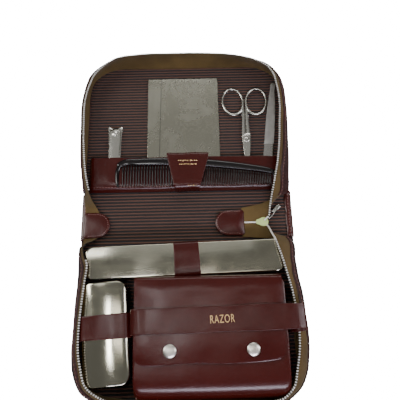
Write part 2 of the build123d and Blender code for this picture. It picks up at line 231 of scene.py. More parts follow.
def makeGlossLeather(name, shade=1.0, rough=0.21):
    # smooth dyed hide: fine grain, soft creases, a little uneven dye, and a polished coat
    finish = Finish(name, coat=0.12, coatRough=0.16, specular=0.34)
    place = finish.place()
    dye = finish.noise(place, leatherLook["creases"], 2.0)
    fine = finish.noise(place, 260.0, 2.0)
    dark, light = [tuple(c * shade for c in leatherLook[key]) for key in ("dark", "light")]
    colour = finish.mix(dye * 0.6 + fine * 0.35, dark, light)
    scuff = finish.noise(finish.scaled(place, (1.0, 2.6, 1.0)), 95.0, 6.0, 0.7, 0.6).above(0.6, 0.85)
    colour = finish.mix(scuff * 0.1, colour, leatherLook["worn"])
    grain = finish.cells(place, leatherLook["grain"])
    crease = finish.noise(place, 42.0, 1.0, 0.4)
    pores = finish.noise(place, 850.0, 3.0, 0.6)
    normal = finish.bump(crease, 0.0012, 0.3)
    normal = finish.bump(grain * 0.5 + pores, 0.00015, 0.6, normal)
    finish.set(colour=colour, rough=rough + dye * 0.08 + scuff * 0.05, normal=normal)
    return finish.material


def makePebbledLeather():
    # printed hide of the outside: raised pebbles, with painted shade in their gaps and, on their tops
    # in patches, a painted highlight with some rubbed wear
    finish = Finish("outerLeather", coat=0.25, coatRough=0.25, specular=0.5)
    place = finish.place()
    pebble = finish.cells(finish.noiseShift(place, 300.0, 0.0009), leatherLook["pebble"], "F1")
    gap = finish.cells(finish.noiseShift(place, 300.0, 0.0009), leatherLook["pebble"],
                       "DISTANCE_TO_EDGE").above(0.02, 0.22)
    dye = finish.noise(place, 30.0, 4.0).above(0.25, 0.75)
    colour = finish.mix(dye, leatherLook["dark"], leatherLook["light"])
    rubbedAndHighlight = finish.noise(place, 55.0, 5.0, 0.65).above(0.56, 0.78)
    # painted highlight with some rubbed wear: the pebble tops, in patches, lightened towards the worn
    # colour
    colour = finish.mix(rubbedAndHighlight * gap * 0.45, colour, leatherLook["worn"])
    # painted shade: the gaps between the pebbles darkened nearly to black
    colour = finish.mix((1 - gap) * 0.7, colour, (0.016, 0.004, 0.004))
    normal = finish.bump(gap - pebble * 0.3, 0.00035, 0.9)
    finish.set(colour=colour, rough=0.52 - gap * 0.2 + rubbedAndHighlight * 0.1, normal=normal)
    return finish.material


def makeRawEdge():
    # cut edge of the hide: pale fibres under worn dye
    finish = Finish("rawEdge", rough=0.6)
    place = finish.place()
    fibre = finish.noise(place, 900.0, 3.0)
    worn = finish.noise(place, 120.0, 4.0).above(0.35, 0.7)
    colour = finish.mix(worn, (0.07, 0.018, 0.014), (0.22, 0.085, 0.062))
    finish.set(colour=colour, normal=finish.bump(fibre, 0.0002, 0.6))
    return finish.material


liningLook = {"ridge": (0.093, 0.037, 0.021), "grooveShade": (0.003, 0.001, 0.0008), "pitch": 3.5}


def makeLining():
    # corded cloth: pinkish ribs along X with a fine weave, and painted shade, nearly black, in the
    # hollows between them
    finish = Finish("ribbedLining", rough=0.72, sheen=0.15, sheenRough=0.4)
    place = finish.place()
    across = finish.axis(place, "Y") / mm
    along = finish.axis(place, "X") / mm
    wobble = finish.noise(finish.scaled(place, (30.0, 8.0, 1.0)), 1.0, 2.0) * 0.5
    rib = (across + wobble * 0.4).wave(liningLook["pitch"])
    ridge = rib.above(0.42, 0.88)
    weave = (along + across * 0.35).wave(0.55) * (across).wave(0.5)
    fluff = finish.noise(place, 700.0, 3.0)
    faded = finish.noise(place, 18.0, 3.0).above(0.3, 0.75)
    # painted shade: off the ridges the colour falls to the near-black shade of the hollows
    tone = ridge * (0.72 + fluff * 0.3 + faded * 0.16) - weave * 0.14 * ridge
    colour = finish.mix(tone, liningLook["grooveShade"], liningLook["ridge"])
    normal = finish.bump(rib * 0.9 + weave * 0.16 + fluff * 0.12, 0.00045, 0.8)
    finish.set(colour=colour, normal=normal)
    return finish.material


def makeTape(name, dark, light):
    # cotton zip tape: olive twill whose diagonal follows the tape's own length
    finish = Finish(name, rough=0.85, sheen=0.08, sheenRough=0.5, specular=0.25)
    cloth = finish.place("UV")
    length = finish.axis(cloth, "X") / mm
    width = finish.axis(cloth, "Y") / mm
    twill = (length + width * 0.8).wave(0.8)
    yarn = width.wave(0.55)
    place = finish.place()
    faded = finish.noise(place, 28.0, 4.0).above(0.28, 0.74)
    fluff = finish.noise(place, 1100.0, 2.0)
    tone = 0.25 + faded * 0.4 + twill * 0.2 + fluff * 0.18
    colour = finish.mix(tone, dark, light)
    normal = finish.bump(twill * 0.6 + yarn * 0.4 + fluff * 0.5, 0.00022, 0.8)
    finish.set(colour=colour, normal=normal)
    return finish.material


def makeMetal(name, colour, rough, scratch=0.5, stretch=(1.0, 1.0, 1.0), dents=0.0, cloud=0.08,
              tarnish=0.25, metal=1.0):
    # polished metal: clouded by handling, with hair scratches and, if asked, shallow dents
    finish = Finish(name, metal=metal, specular=0.5)
    place = finish.place()
    haze = finish.noise(place, 34.0, 5.0, 0.6).above(0.32, 0.72)
    spots = finish.noise(place, 420.0, 4.0, 0.7).above(0.6, 0.75)
    hair = finish.noise(finish.scaled(place, stretch, (0, 0, 0.3)), 900.0, 2.0, 0.6)
    darker = tuple(c * (0.72, 0.68, 0.6)[k] for k, c in enumerate(colour))
    tint = finish.mix((haze * tarnish + spots * tarnish * 0.6), colour, darker)
    normal = finish.bump(hair, 0.00003, scratch)
    if dents:
        hollows = finish.noise(finish.scaled(place, (1.0, 1.8, 1.0)), 17.0, 1.0, 0.4)
        normal = finish.bump(hollows, dents, 0.5, normal)
    finish.set(colour=tint, rough=rough + haze * cloud + spots * 0.06, normal=normal)
    return finish.material


def makeSilverPlate():
    # a flat mirror, greyed by age, with cloudy patches and a painted reflection: a faint thin dark line
    # down it
    finish = Finish("mirrorSteel", metal=1.0)
    place = finish.place()
    cloud = finish.noise(place, 22.0, 5.0, 0.62, 0.4).above(0.4, 0.75)
    specks = finish.noise(place, 800.0, 3.0, 0.7).above(0.62, 0.74)
    # painted reflection: a thin, slightly slanted dark line near x = -28.6
    across = finish.axis(place, "X") / mm + 28.6 - (finish.axis(place, "Y") / mm - 100) * 0.02
    line = 1 - (across * across).above(0.02, 0.5)
    tint = finish.mix(cloud * 0.55, (0.42, 0.41, 0.34), (0.5, 0.49, 0.43))
    tint = finish.mix(specks * 0.12 + line * 0.65, tint, (0.14, 0.14, 0.12))
    wave = finish.noise(place, 16.0, 1.0)
    normal = finish.bump(wave, 0.0002, 0.2)
    finish.set(colour=tint, rough=0.26 + cloud * 0.06, normal=normal)
    return finish.material


def makeCutSteel():
    # nail file: crossed file cuts, except on its smooth shank
    finish = Finish("fileSteel", metal=1.0)
    place = finish.place()
    x, y = finish.axis(place, "X") / mm, finish.axis(place, "Y") / mm
    cuts = (x + y).wave(0.7) * 0.5 + (x - y).wave(0.7) * 0.5
    cut = (y + finish.noise(place, 200.0) * 0.8).above(80.4, 80.9)
    colour = finish.mix(cut, (0.60, 0.58, 0.56), (0.42, 0.41, 0.39))
    grime = finish.noise(place, 60.0, 4.0).above(0.4, 0.75)
    colour = finish.mix(grime * 0.35 * cut, colour, (0.2, 0.19, 0.17))
    normal = finish.bump(cuts * cut, 0.00018, 0.9)
    finish.set(colour=colour, rough=0.22 + cut * 0.22, normal=normal)
    return finish.material


def makeBlack(name, rough, fleck=0.15):
    # polished black horn plastic with faint brown streaks and fine scratches
    finish = Finish(name, coat=0.3, coatRough=0.05, specular=0.4)
    place = finish.place()
    streak = finish.noise(finish.scaled(place, (1.0, 5.0, 3.0)), 60.0, 4.0, 0.6).above(0.45, 0.8)
    colour = finish.mix(streak * fleck, (0.0045, 0.0035, 0.004), (0.05, 0.022, 0.016))
    hair = finish.noise(finish.scaled(place, (0.15, 1.0, 1.0)), 1500.0, 2.0)
    finish.set(colour=colour, rough=rough + streak * 0.08, normal=finish.bump(hair, 0.00003, 0.2))
    return finish.material


def makeBristle():
    # black hog bristle: shiny strands that are a little paler at their tips
    finish = Finish("bristle", rough=0.38, specular=0.5)
    place = finish.place()
    low = 1 - (finish.axis(place, "Z") / mm).above(3.0, 12.0)
    strand = finish.noise(finish.scaled(place, (1.0, 1.0, 0.08)), 1500.0, 1.0)
    colour = finish.mix(strand.above(0.52, 0.72) * 0.5 + low * 0.15, (0.006, 0.005, 0.005),
                        (0.085, 0.075, 0.06))
    finish.set(colour=colour, normal=finish.bump(strand, 0.0001, 0.5))
    return finish.material


def makeSliderPaint():
    # pale green enamel, rubbed through to metal on its high edges
    finish = Finish("sliderEnamel", coat=0.4, coatRough=0.15)
    place = finish.place()
    chip = finish.noise(place, 700.0, 5.0, 0.7).above(0.6, 0.68)
    cloud = finish.noise(place, 220.0, 3.0)
    colour = finish.mix(cloud, (0.42, 0.56, 0.16), (0.62, 0.74, 0.3))
    colour = finish.mix(chip * 0.6, colour, (0.33, 0.31, 0.24))
    finish.set(colour=colour, rough=0.34 + chip * 0.2, metal=chip * 0.6,
               normal=finish.bump(cloud - chip, 0.0001, 0.5))
    return finish.material


def makeGold():
    # gold foil pressed into the hide, broken by its grain
    finish = Finish("goldFoil", metal=0.85)
    place = finish.place()
    loss = finish.noise(place, 1400.0, 4.0, 0.7).above(0.52, 0.66)
    colour = finish.mix(loss * 0.75, (0.74, 0.5, 0.24), (0.16, 0.06, 0.03))
    finish.set(colour=colour, rough=0.36 + loss * 0.25, normal=finish.bump(loss, 0.00005, 0.5))
    return finish.material


def makeThread():
    # waxed thread, twisted
    finish = Finish("thread", rough=0.55, sheen=0.3)
    place = finish.place()
    ply = finish.noise(place, 1600.0, 2.0)
    colour = finish.mix(ply, (0.16, 0.05, 0.042), (0.42, 0.22, 0.18))
    finish.set(colour=colour, normal=finish.bump(ply, 0.0002, 0.7))
    return finish.material


def makeFloor():
    # pale card that glows evenly under the case
    finish = Finish("floorCard", rough=0.9)
    place = finish.place()
    grain = finish.noise(place, 160.0, 3.0)
    shade = tuple(c * 0.985 for c in floorLook["colour"])
    finish.set(colour=finish.mix(grain, floorLook["colour"], shade), glow=(1.0, 1.0, 1.0))
    finish.set(glowStrength=floorLook["glow"], normal=finish.bump(grain, 0.0001, 0.2))
    return finish.material


# shapes


def gridFaces(rows, columns, closedRows, closedColumns):
    # corner indices of a grid's quads, and the grid places of those corners before they wrap
    i = np.arange(rows if closedRows else rows - 1)
    j = np.arange(columns if closedColumns else columns - 1)
    i, j = [a.ravel() for a in np.meshgrid(i, j, indexing="ij")]
    places = np.stack([i, j, i + 1, j, i + 1, j + 1, i, j + 1], 1).reshape(-1, 4, 2)
    return places[..., 0] % rows * columns + places[..., 1] % columns, places


def lengths(points, closed):
    # distance travelled along the first axis of a grid, averaged over the second
    after = np.concatenate([points, points[:1]]) if closed else points
    steps = np.linalg.norm(np.diff(after, axis=0), axis=2).mean(axis=1)
    return np.concatenate([[0.0], np.cumsum(steps)])


def addMesh(name, points, faces, material, uvs=None, close=True):
    # close merges doubles, drops what has no area and turns all faces outwards
    mesh = bpy.data.meshes.new(name)
    mesh.from_pydata((np.asarray(points, float).reshape(-1, 3) * mm).tolist(), [],
                     [list(map(int, f)) for f in faces])
    if uvs is not None:
        mesh.uv_layers.new(name="UVMap").data.foreach_set("uv", np.asarray(uvs, float).ravel() * mm)
    if close:
        work = bmesh.new()
        work.from_mesh(mesh)
        bmesh.ops.remove_doubles(work, verts=work.verts, dist=1e-7)
        bmesh.ops.dissolve_degenerate(work, edges=work.edges, dist=1e-8)
        bmesh.ops.recalc_face_normals(work, faces=work.faces)
        work.to_mesh(mesh)
        work.free()
    mesh.polygons.foreach_set("use_smooth", np.full(len(mesh.polygons), True))
    obj = bpy.data.objects.new(name, mesh)
    bpy.context.scene.collection.objects.link(obj)
    for one in material if isinstance(material, (list, tuple)) else [material]:
        mesh.materials.append(one)
    return obj


def addGrid(name, points, material, closedRows=False, closedColumns=False, caps=False, close=True):
    # a surface from a grid of points (rows, columns, 3); caps shut both ends of a tube
    rows, columns = points.shape[:2]
    faces, places = gridFaces(rows, columns, closedRows, closedColumns)
    along, across = lengths(points, closedRows), lengths(points.swapaxes(0, 1), closedColumns)
    uvs = np.stack([along[places[..., 0]], across[places[..., 1]]], -1).reshape(-1, 2)
    faces = faces.tolist()
    if caps:
        ends = [list(range(columns)), list(range(rows * columns - 1, (rows - 1) * columns - 1, -1))]
        faces += ends
        flatUvs = points.reshape(-1, 3)[np.array(ends).ravel()][:, :2]
        uvs = np.concatenate([uvs, flatUvs])
    return addMesh(name, points, faces, material, uvs, close)


def finished(obj):
    # the mesh with its modifiers applied
    bpy.context.view_layer.update()
    graph = bpy.context.evaluated_depsgraph_get()
    mesh = bpy.data.meshes.new_from_object(obj.evaluated_get(graph), preserve_all_data_layers=True,
                                           depsgraph=graph)
    obj.modifiers.clear()
    obj.data = mesh
    return obj


def addSheet(name, points, thickness, material, edge=None):
    # an open grid of points given thickness both ways, with a rounded rim
    obj = addGrid(name, points, [material, edge or material], close=False)
    solid = obj.modifiers.new("thickness", "SOLIDIFY")
    solid.thickness, solid.offset = thickness * mm, 0.0
    solid.material_offset_rim = 1 if edge else 0
    bevel = obj.modifiers.new("rim", "BEVEL")
    bevel.width, bevel.segments = 0.3 * thickness * mm, 2
    bevel.limit_method, bevel.angle_limit = "ANGLE", math.radians(55)
    return finished(obj)


def curveAt(controls, s):
    # the smooth curve through the controls, at s counted in controls: cubic pieces whose
    # slope at each control weighs the two runs beside it by each other's length
    p = np.asarray(controls, float)
    runs = np.linalg.norm(np.diff(p, axis=0), axis=1)[:, None]
    slopes = np.diff(p, axis=0) / runs
    ends = np.concatenate([slopes[:1], (slopes[:-1] * runs[1:] + slopes[1:] * runs[:-1])
                           / (runs[1:] + runs[:-1]), slopes[-1:]])
    k = np.clip(np.floor(s).astype(int), 0, len(p) - 2)
    f, h = (s - k)[:, None], runs[k]
    start = (2 * f**3 - 3 * f**2 + 1) * p[k] + (f**3 - 2 * f**2 + f) * h * ends[k]
    return start + (3 * f**2 - 2 * f**3) * p[k + 1] + (f**3 - f**2) * h * ends[k + 1]


def evenSteps(controls, count, first=0.0, last=None):
    # values of s that lie at even distances along the curve
    dense = np.linspace(first, len(controls) - 1 if last is None else last, 60 * len(controls))
    points = curveAt(controls, dense)
    travelled = np.concatenate([[0.0], np.cumsum(np.linalg.norm(np.diff(points, axis=0), axis=1))])
    return np.interp(np.linspace(0, travelled[-1], count), travelled, dense)


def evenCurve(controls, count):
    # points at even distances along the smooth curve through the controls
    return curveAt(controls, evenSteps(controls, count))


def evenLoop(controls, count):
    # the same for a closed loop, whose first control isn't repeated
    p = np.asarray(controls, float)
    wrapped = np.concatenate([p[-2:], p, p[:3]])
    return curveAt(wrapped, evenSteps(wrapped, count + 1, 2.0, len(p) + 2.0))[:-1]


def roundedBox(x0, x1, y0, y1, radius, perCorner=8, perSide=12):
    # anticlockwise loop: four straight sides joined by quarter circles
    turn = np.linspace(0, np.pi / 2, perCorner, endpoint=False)
    loop = []
    centres = [(x1 - radius, y1 - radius), (x0 + radius, y1 - radius), (x0 + radius, y0 + radius),
               (x1 - radius, y0 + radius)]
    for k, (cx, cy) in enumerate(centres):
        angle = turn + k * np.pi / 2
        arc = np.stack([cx + radius * np.cos(angle), cy + radius * np.sin(angle)], 1)
        nextX, nextY = centres[(k + 1) % 4]
        final = (k + 1) * np.pi / 2
        begin = np.array([cx + radius * np.cos(final), cy + radius * np.sin(final)])
        finish = np.array([nextX + radius * np.cos(final), nextY + radius * np.sin(final)])
        share = np.linspace(0, 1, perSide, endpoint=False)[:, None]
        loop += [arc, begin + (finish - begin) * share]
    return np.concatenate(loop)


def outwards(loop):
    # unit normals of an anticlockwise loop
    along = np.roll(loop, -1, axis=0) - np.roll(loop, 1, axis=0)
    along /= np.linalg.norm(along, axis=1)[:, None]
    return np.stack([along[:, 1], -along[:, 0]], 1)


def ringPoints(loop, rings):
    # rings of (inset, scale, z): the loop moved in along its normals, then scaled towards its centre
    centre = (loop.max(0) + loop.min(0)) / 2
    normals = outwards(loop)
    layers = []
    for inset, scale, z in rings:
        flat = centre + (loop - normals * inset - centre) * scale
        layers.append(np.concatenate([flat, np.full((len(loop), 1), z)], 1))
    return np.stack(layers)


def plateRings(z0, z1, edge, steps=4, crown=0.0, fills=(0.0, 0.35, 0.65, 0.9)):
    # a closed plate with rounded rims: bottom centre, bottom rim, side, top rim, top centre
    angle = np.linspace(0, np.pi / 2, steps)
    low = [(0.0 if f == 0 else edge, f, z0) for f in fills]
    low += [(edge * (1 - math.sin(a)), 1.0, z0 + edge * (1 - math.cos(a))) for a in angle]
    high = [(edge * (1 - math.cos(a)), 1.0, z1 - edge * (1 - math.sin(a))) for a in angle]
    high += [(edge, f, z1 + crown * (1 - f * f)) for f in fills[::-1]]
    return low + high


def turned(points, centre, degrees):
    # turned about a vertical line through centre
    a = math.radians(degrees)
    moved = np.array(points, float)
    x, y = moved[..., 0] - centre[0], moved[..., 1] - centre[1]
    moved[..., 0] = centre[0] + x * math.cos(a) - y * math.sin(a)
    moved[..., 1] = centre[1] + x * math.sin(a) + y * math.cos(a)
    return moved


def repeated(name, shape, origins, axes, material):
    # copies of a small closed shape (points, faces) at origins, each with its own three axes as rows
    points, faces = shape
    placed = origins[:, None, :] + np.einsum("mk,nkd->nmd", points, axes)
    step = len(points) * np.arange(len(origins))
    quads = [np.asarray(f)[None, :] + step[:, None] for f in faces]
    return addMesh(name, placed.reshape(-1, 3), [row for q in quads for row in q.tolist()], material)


def cutBlock(x, y, z, cut):
    # a block of half sizes x, y, z with its upper and lower rims drawn in by cut; 16 corners, 14 faces
    levels = [(-z, 1), (-z + cut, 0), (z - cut, 0), (z, 1)]
    points = [[sx * (x - cut * k), sy * (y - cut * k), level] for level, k in levels
              for sx, sy in ((1, 1), (-1, 1), (-1, -1), (1, -1))]
    faces = [[3, 2, 1, 0], [12, 13, 14, 15]]
    for layer in range(3):
        for k in range(4):
            a, b = layer * 4 + k, layer * 4 + (k + 1) % 4
            faces.append([a, b, b + 4, a + 4])
    return np.array(points, float), faces


def tubeAlong(path, radiusAcross, radiusUp, count=10, power=1.0):
    # an oval section carried along a path; its axes are across (level) and up
    path = np.asarray(path, float)
    along = np.gradient(path, axis=0)
    along /= np.linalg.norm(along, axis=1)[:, None]
    across = np.cross(along, (0.0, 0.0, 1.0))
    across /= np.linalg.norm(across, axis=1)[:, None]
    lift = np.cross(across, along)
    angle = np.linspace(0, 2 * np.pi, count, endpoint=False)
    c, s = [np.sign(v) * np.abs(v) ** power for v in (np.cos(angle), np.sin(angle))]
    radiusAcross, radiusUp = [np.broadcast_to(r, len(path))[:, None, None]
                              for r in (radiusAcross, radiusUp)]
    return (path[:, None] + across[:, None] * c[None, :, None] * radiusAcross
            + lift[:, None] * s[None, :, None] * radiusUp)


def stitches(name, line, lift, material, length=2.0, gap=1.1, radius=0.22, up=None):
    # a row of thread dashes that follow a line, each sunk a little at its ends
    s = np.concatenate([[0.0], np.cumsum(np.linalg.norm(np.diff(line, axis=0), axis=1))])
    count = max(2, int(s[-1] / (length + gap)))
    middle = (np.arange(count) + 0.5) * s[-1] / count
    at = lambda d: np.stack([np.interp(d, s, line[:, k]) for k in range(3)], 1)
    along = at(middle + 0.3) - at(middle - 0.3)
    along /= np.linalg.norm(along, axis=1)[:, None]
    up = np.broadcast_to(np.array([0, 0, 1.0]) if up is None else up, line.shape)
    upward = np.stack([np.interp(middle, s, up[:, k]) for k in range(3)], 1)
    across = np.cross(along, upward)
    across /= np.linalg.norm(across, axis=1)[:, None]
    path = np.array([[-0.5, 0, -0.6], [-0.3, 0, 0.2], [0, 0, 0.45], [0.3, 0, 0.2], [0.5, 0, -0.6]])
    path = path * np.array([length, 1, radius])
    tube = tubeAlong(path, radius, radius, 6)
    faces = gridFaces(5, 6, False, True)[0]
    shape = (tube.reshape(-1, 3), faces.tolist() + [[5, 4, 3, 2, 1, 0], [24, 25, 26, 27, 28, 29]])
    axes = np.stack([along, across, np.cross(along, across) * -1], 1)
    return repeated(name, shape, at(middle) + upward * lift, axes, material)


def keep(obj, body, slotName, *nodes):
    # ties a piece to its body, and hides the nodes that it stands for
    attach(obj, body)
    if nodes:
        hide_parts(*nodes)
    return obj


# finishes used below

makeStudio()
glossLeather = makeGlossLeather("glossLeather")
pouchLeather = makeGlossLeather("pouchLeather", 1.08, 0.19)
pebbledLeather = makePebbledLeather()
rawEdge = makeRawEdge()
ribbedLining = makeLining()
zipTape = makeTape("zipTape", (0.036, 0.022, 0.006), (0.148, 0.094, 0.03))
# near-black tape: painted shade, used for the cord between the teeth and for the tape's rims
paintedShadeTape = makeTape("paintedShadeTape", (0.004, 0.003, 0.0015), (0.014, 0.01, 0.005))
# pale and only partly metallic, so the teeth read bright: a painted highlight in their colour
zipMetal = makeMetal("zipMetal", (0.86, 0.84, 0.78), 0.25, 0.2, tarnish=0.1, metal=0.45)
polishedSteel = makeMetal("polishedSteel", (0.64, 0.615, 0.5), 0.075, 0.2, (1.0, 0.12, 1.0), 0.0003,
                          tarnish=0.15)
studSteel = makeMetal("studSteel", (0.78, 0.75, 0.68), 0.3, 0.15)
toolSteel = makeMetal("toolSteel", (0.66, 0.65, 0.6), 0.22, 0.0, tarnish=0.06, cloud=0.03)
mirrorSteel = makeSilverPlate()
fileSteel = makeCutSteel()
blackHorn = makeBlack("blackHorn", 0.12)
blackPlastic = makeBlack("blackPlastic", 0.3, fleck=0.05)
bristleHair = makeBristle()
sliderEnamel = makeSliderPaint()
goldFoil = makeGold()
redThread = makeThread()
print("finishes made")


# floor

half = floorLook["size"] / 2 / mm
floor = addGrid("floor", np.array([[[x * half, y * half, -0.05] for x in (-1, 1)] for y in (-1, 1)]),
                makeFloor(), close=False)
floor.data.flip_normals()
floor.visible_diffuse = floor.visible_glossy = False  # its glow shouldn't light the case


# case: outer skin in two flat pieces that meet at the spine's middle, and the ribbed lining in three

case = {
    "halfWidth": 110.0, "reach": 183.0, "corner": 38.0, "skin": 2.4, "fold": 26.0,
    "lining": 0.8, "liningInset": 2.0, "ribHeight": 0.5,
}


def halfWidthAt(y, inset=0.0):
    # half the width of the case at y: straight sides, then a quarter circle to the end
    past = np.clip(np.abs(y) - (case["reach"] - case["corner"]), 0, case["corner"] - inset)
    return case["halfWidth"] - case["corner"] + np.sqrt((case["corner"] - inset) ** 2 - past**2)


def panelRows(start, inset, step):
    # distances from the spine's middle: even steps, then closer ones round the corner
    straight = case["reach"] - case["corner"]
    angle = np.linspace(0, np.pi / 2, max(14, int(1.4 * case["corner"] / step)))
    return np.concatenate([np.arange(start, straight - 0.01, step),
                           straight + (case["corner"] - inset) * np.sin(angle)])


def addPanel(name, rows, inset, heightAt, thickness, material, columns=25, edge=None):
    # a flat sheet with the case's outline; heightAt gives the middle surface's z from x and y
    u = np.sin(np.linspace(-1, 1, columns) * np.pi / 2)
    y = np.repeat(rows[:, None], columns, axis=1)
    x = u[None, :] * halfWidthAt(rows, inset)[:, None]
    return addSheet(name, np.stack([x, y, heightAt(x, y)], -1), thickness, material, edge)


def skinHeight(x, y):
    # flat, with its rim turned up very slightly
    return case["skin"] / 2 + 0.35 * (np.abs(x) / case["halfWidth"]) ** 12


skinFar = addPanel("skinFar", panelRows(0.0, 0.0, 3.0), 0.0, skinHeight, case["skin"], pebbledLeather,
                   edge=rawEdge)
skinNear = addPanel("skinNear", -panelRows(0.0, 0.0, 3.0), 0.0, skinHeight, case["skin"],
                    pebbledLeather, edge=rawEdge)
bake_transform(skinFar)
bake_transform(skinNear)
for skin, nodes in ((skinFar, ("lid_cover", "spine_cover")), (skinNear, ("base_cover", "spine_cover"))):
    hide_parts(*nodes)


def ribHeight(x, y):
    # cords of the cloth: a cosine across Y
    middle = case["skin"] + case["lining"] / 2 - 0.05
    return middle + case["ribHeight"] / 2 * np.cos(2 * np.pi * y / liningLook["pitch"])


def liningRows(low, high):
    # eight rows to each rib
    step = liningLook["pitch"] / 8
    return np.arange(low, high, step)


def addLining(name, body, rows, inset, node):
    # a ribbed panel laid on the skin
    obj = addPanel(name, rows, inset, ribHeight, case["lining"], ribbedLining, 11)
    keep(obj, body, "ribbed_lining", node)
    return obj


fold, reach = case["fold"], case["reach"] - case["liningInset"]
lidLining = addLining("lidLining", "lid", liningRows(fold, reach), 2.0, "lid_lining")
baseLining = addLining("baseLining", "base", -liningRows(fold, reach), 2.0, "base_lining")
spineLining = addLining("spineLining", "spine", liningRows(-fold, fold), 6.0, "spine_lining")
for lining in (lidLining, baseLining):
    "skinFar" if lining == lidLining else "skinNear"


# walls: each control is (foot x, y, z), (top x, y, z), outward bulge,
# from the left end round to the right end

lidWall = {
    "controls": [
        ((-106.0, 1.5, 5.2), (-90.5, 2.0, 5.4), 0.0), ((-107.5, 11.0, 4.8), (-94.0, 9.0, 8.5), 0.8),
        ((-108.6, 20.0, 4.2), (-98.5, 17.0, 16.5), 1.2),
        ((-109.0, 29.0, 3.0), (-101.0, 25.5, 23.0), 1.8),
        ((-109.0, 42.0, 2.8), (-104.0, 39.0, 24.2), 2.6),
        ((-109.0, 65.0, 2.8), (-107.3, 64.0, 24.4), 3.2),
        ((-109.0, 98.0, 2.8), (-109.3, 98.0, 24.4), 3.8),
        ((-109.0, 128.0, 2.8), (-109.3, 128.0, 24.4), 3.8),
        ((-108.6, 148.0, 2.8), (-105.8, 145.5, 24.4), 3.8),
        ((-104.7, 162.4, 2.8), (-100.2, 160.2, 24.4), 3.4),
        ((-94.0, 173.2, 3.0), (-90.5, 170.8, 24.4), 2.8),
        ((-80.8, 178.6, 3.2), (-78.5, 179.4, 24.6), 2.0),
        ((-54.0, 179.4, 3.4), (-54.0, 183.9, 24.8), 1.4),
        ((-16.0, 179.2, 3.4), (-16.0, 185.0, 24.8), 1.2),
        ((22.0, 179.2, 3.4), (22.0, 184.6, 24.8), 1.2), ((56.0, 179.2, 3.4), (57.0, 181.4, 24.8), 1.6),
        ((80.8, 178.4, 3.2), (80.5, 174.8, 24.6), 2.2), ((94.0, 173.2, 3.0), (92.4, 167.4, 24.4), 3.0),
        ((104.7, 162.4, 2.8), (99.4, 156.5, 24.4), 3.8),
        ((108.8, 146.0, 2.8), (102.0, 143.5, 24.4), 4.6),
        ((109.0, 120.0, 2.8), (103.7, 119.0, 24.4), 5.0),
        ((109.0, 98.0, 2.8), (102.0, 97.0, 24.4), 5.0),
        ((109.0, 69.0, 2.8), (99.2, 68.0, 24.4), 4.8), ((109.0, 46.0, 2.8), (95.0, 44.0, 24.2), 4.0),
        ((108.8, 33.0, 3.0), (91.8, 30.0, 22.8), 3.2), ((106.5, 25.0, 4.2), (89.6, 19.5, 19.0), 2.0),
        ((98.0, 19.5, 4.9), (88.0, 11.5, 14.5), 1.0), ((88.0, 15.0, 5.1), (86.4, 4.0, 10.2), 0.5),
        ((79.5, 11.3, 5.1), (84.2, -3.4, 7.2), 0.2), ((74.0, 9.8, 5.1), (79.6, -7.6, 6.0), 0.0),
        ((66.0, 8.2, 5.1), (70.0, -8.6, 5.6), 0.0), ((57.0, 6.6, 5.2), (57.0, -8.9, 5.5), 0.0),
    ],
    "leather": (2.75, 25.3), "teeth": (2.9, 30.85), "outSign": -1,
    "leatherShare": [(2, 0.6), (5, 0.86), (9, 0.9), (12, 0.7), (15, 0.7), (17, 0.84), (23, 0.88),
                     (25, 0.66)],
    "bodies": ("spine", "lid"), "bend": ((0, 0.006, 0), (0, 0.030, 0)),
    "replaces": ("lid_zip_tape", "zip_bridge_lid_left", "zip_bridge_lid_right", "zip_end_tape"),
}
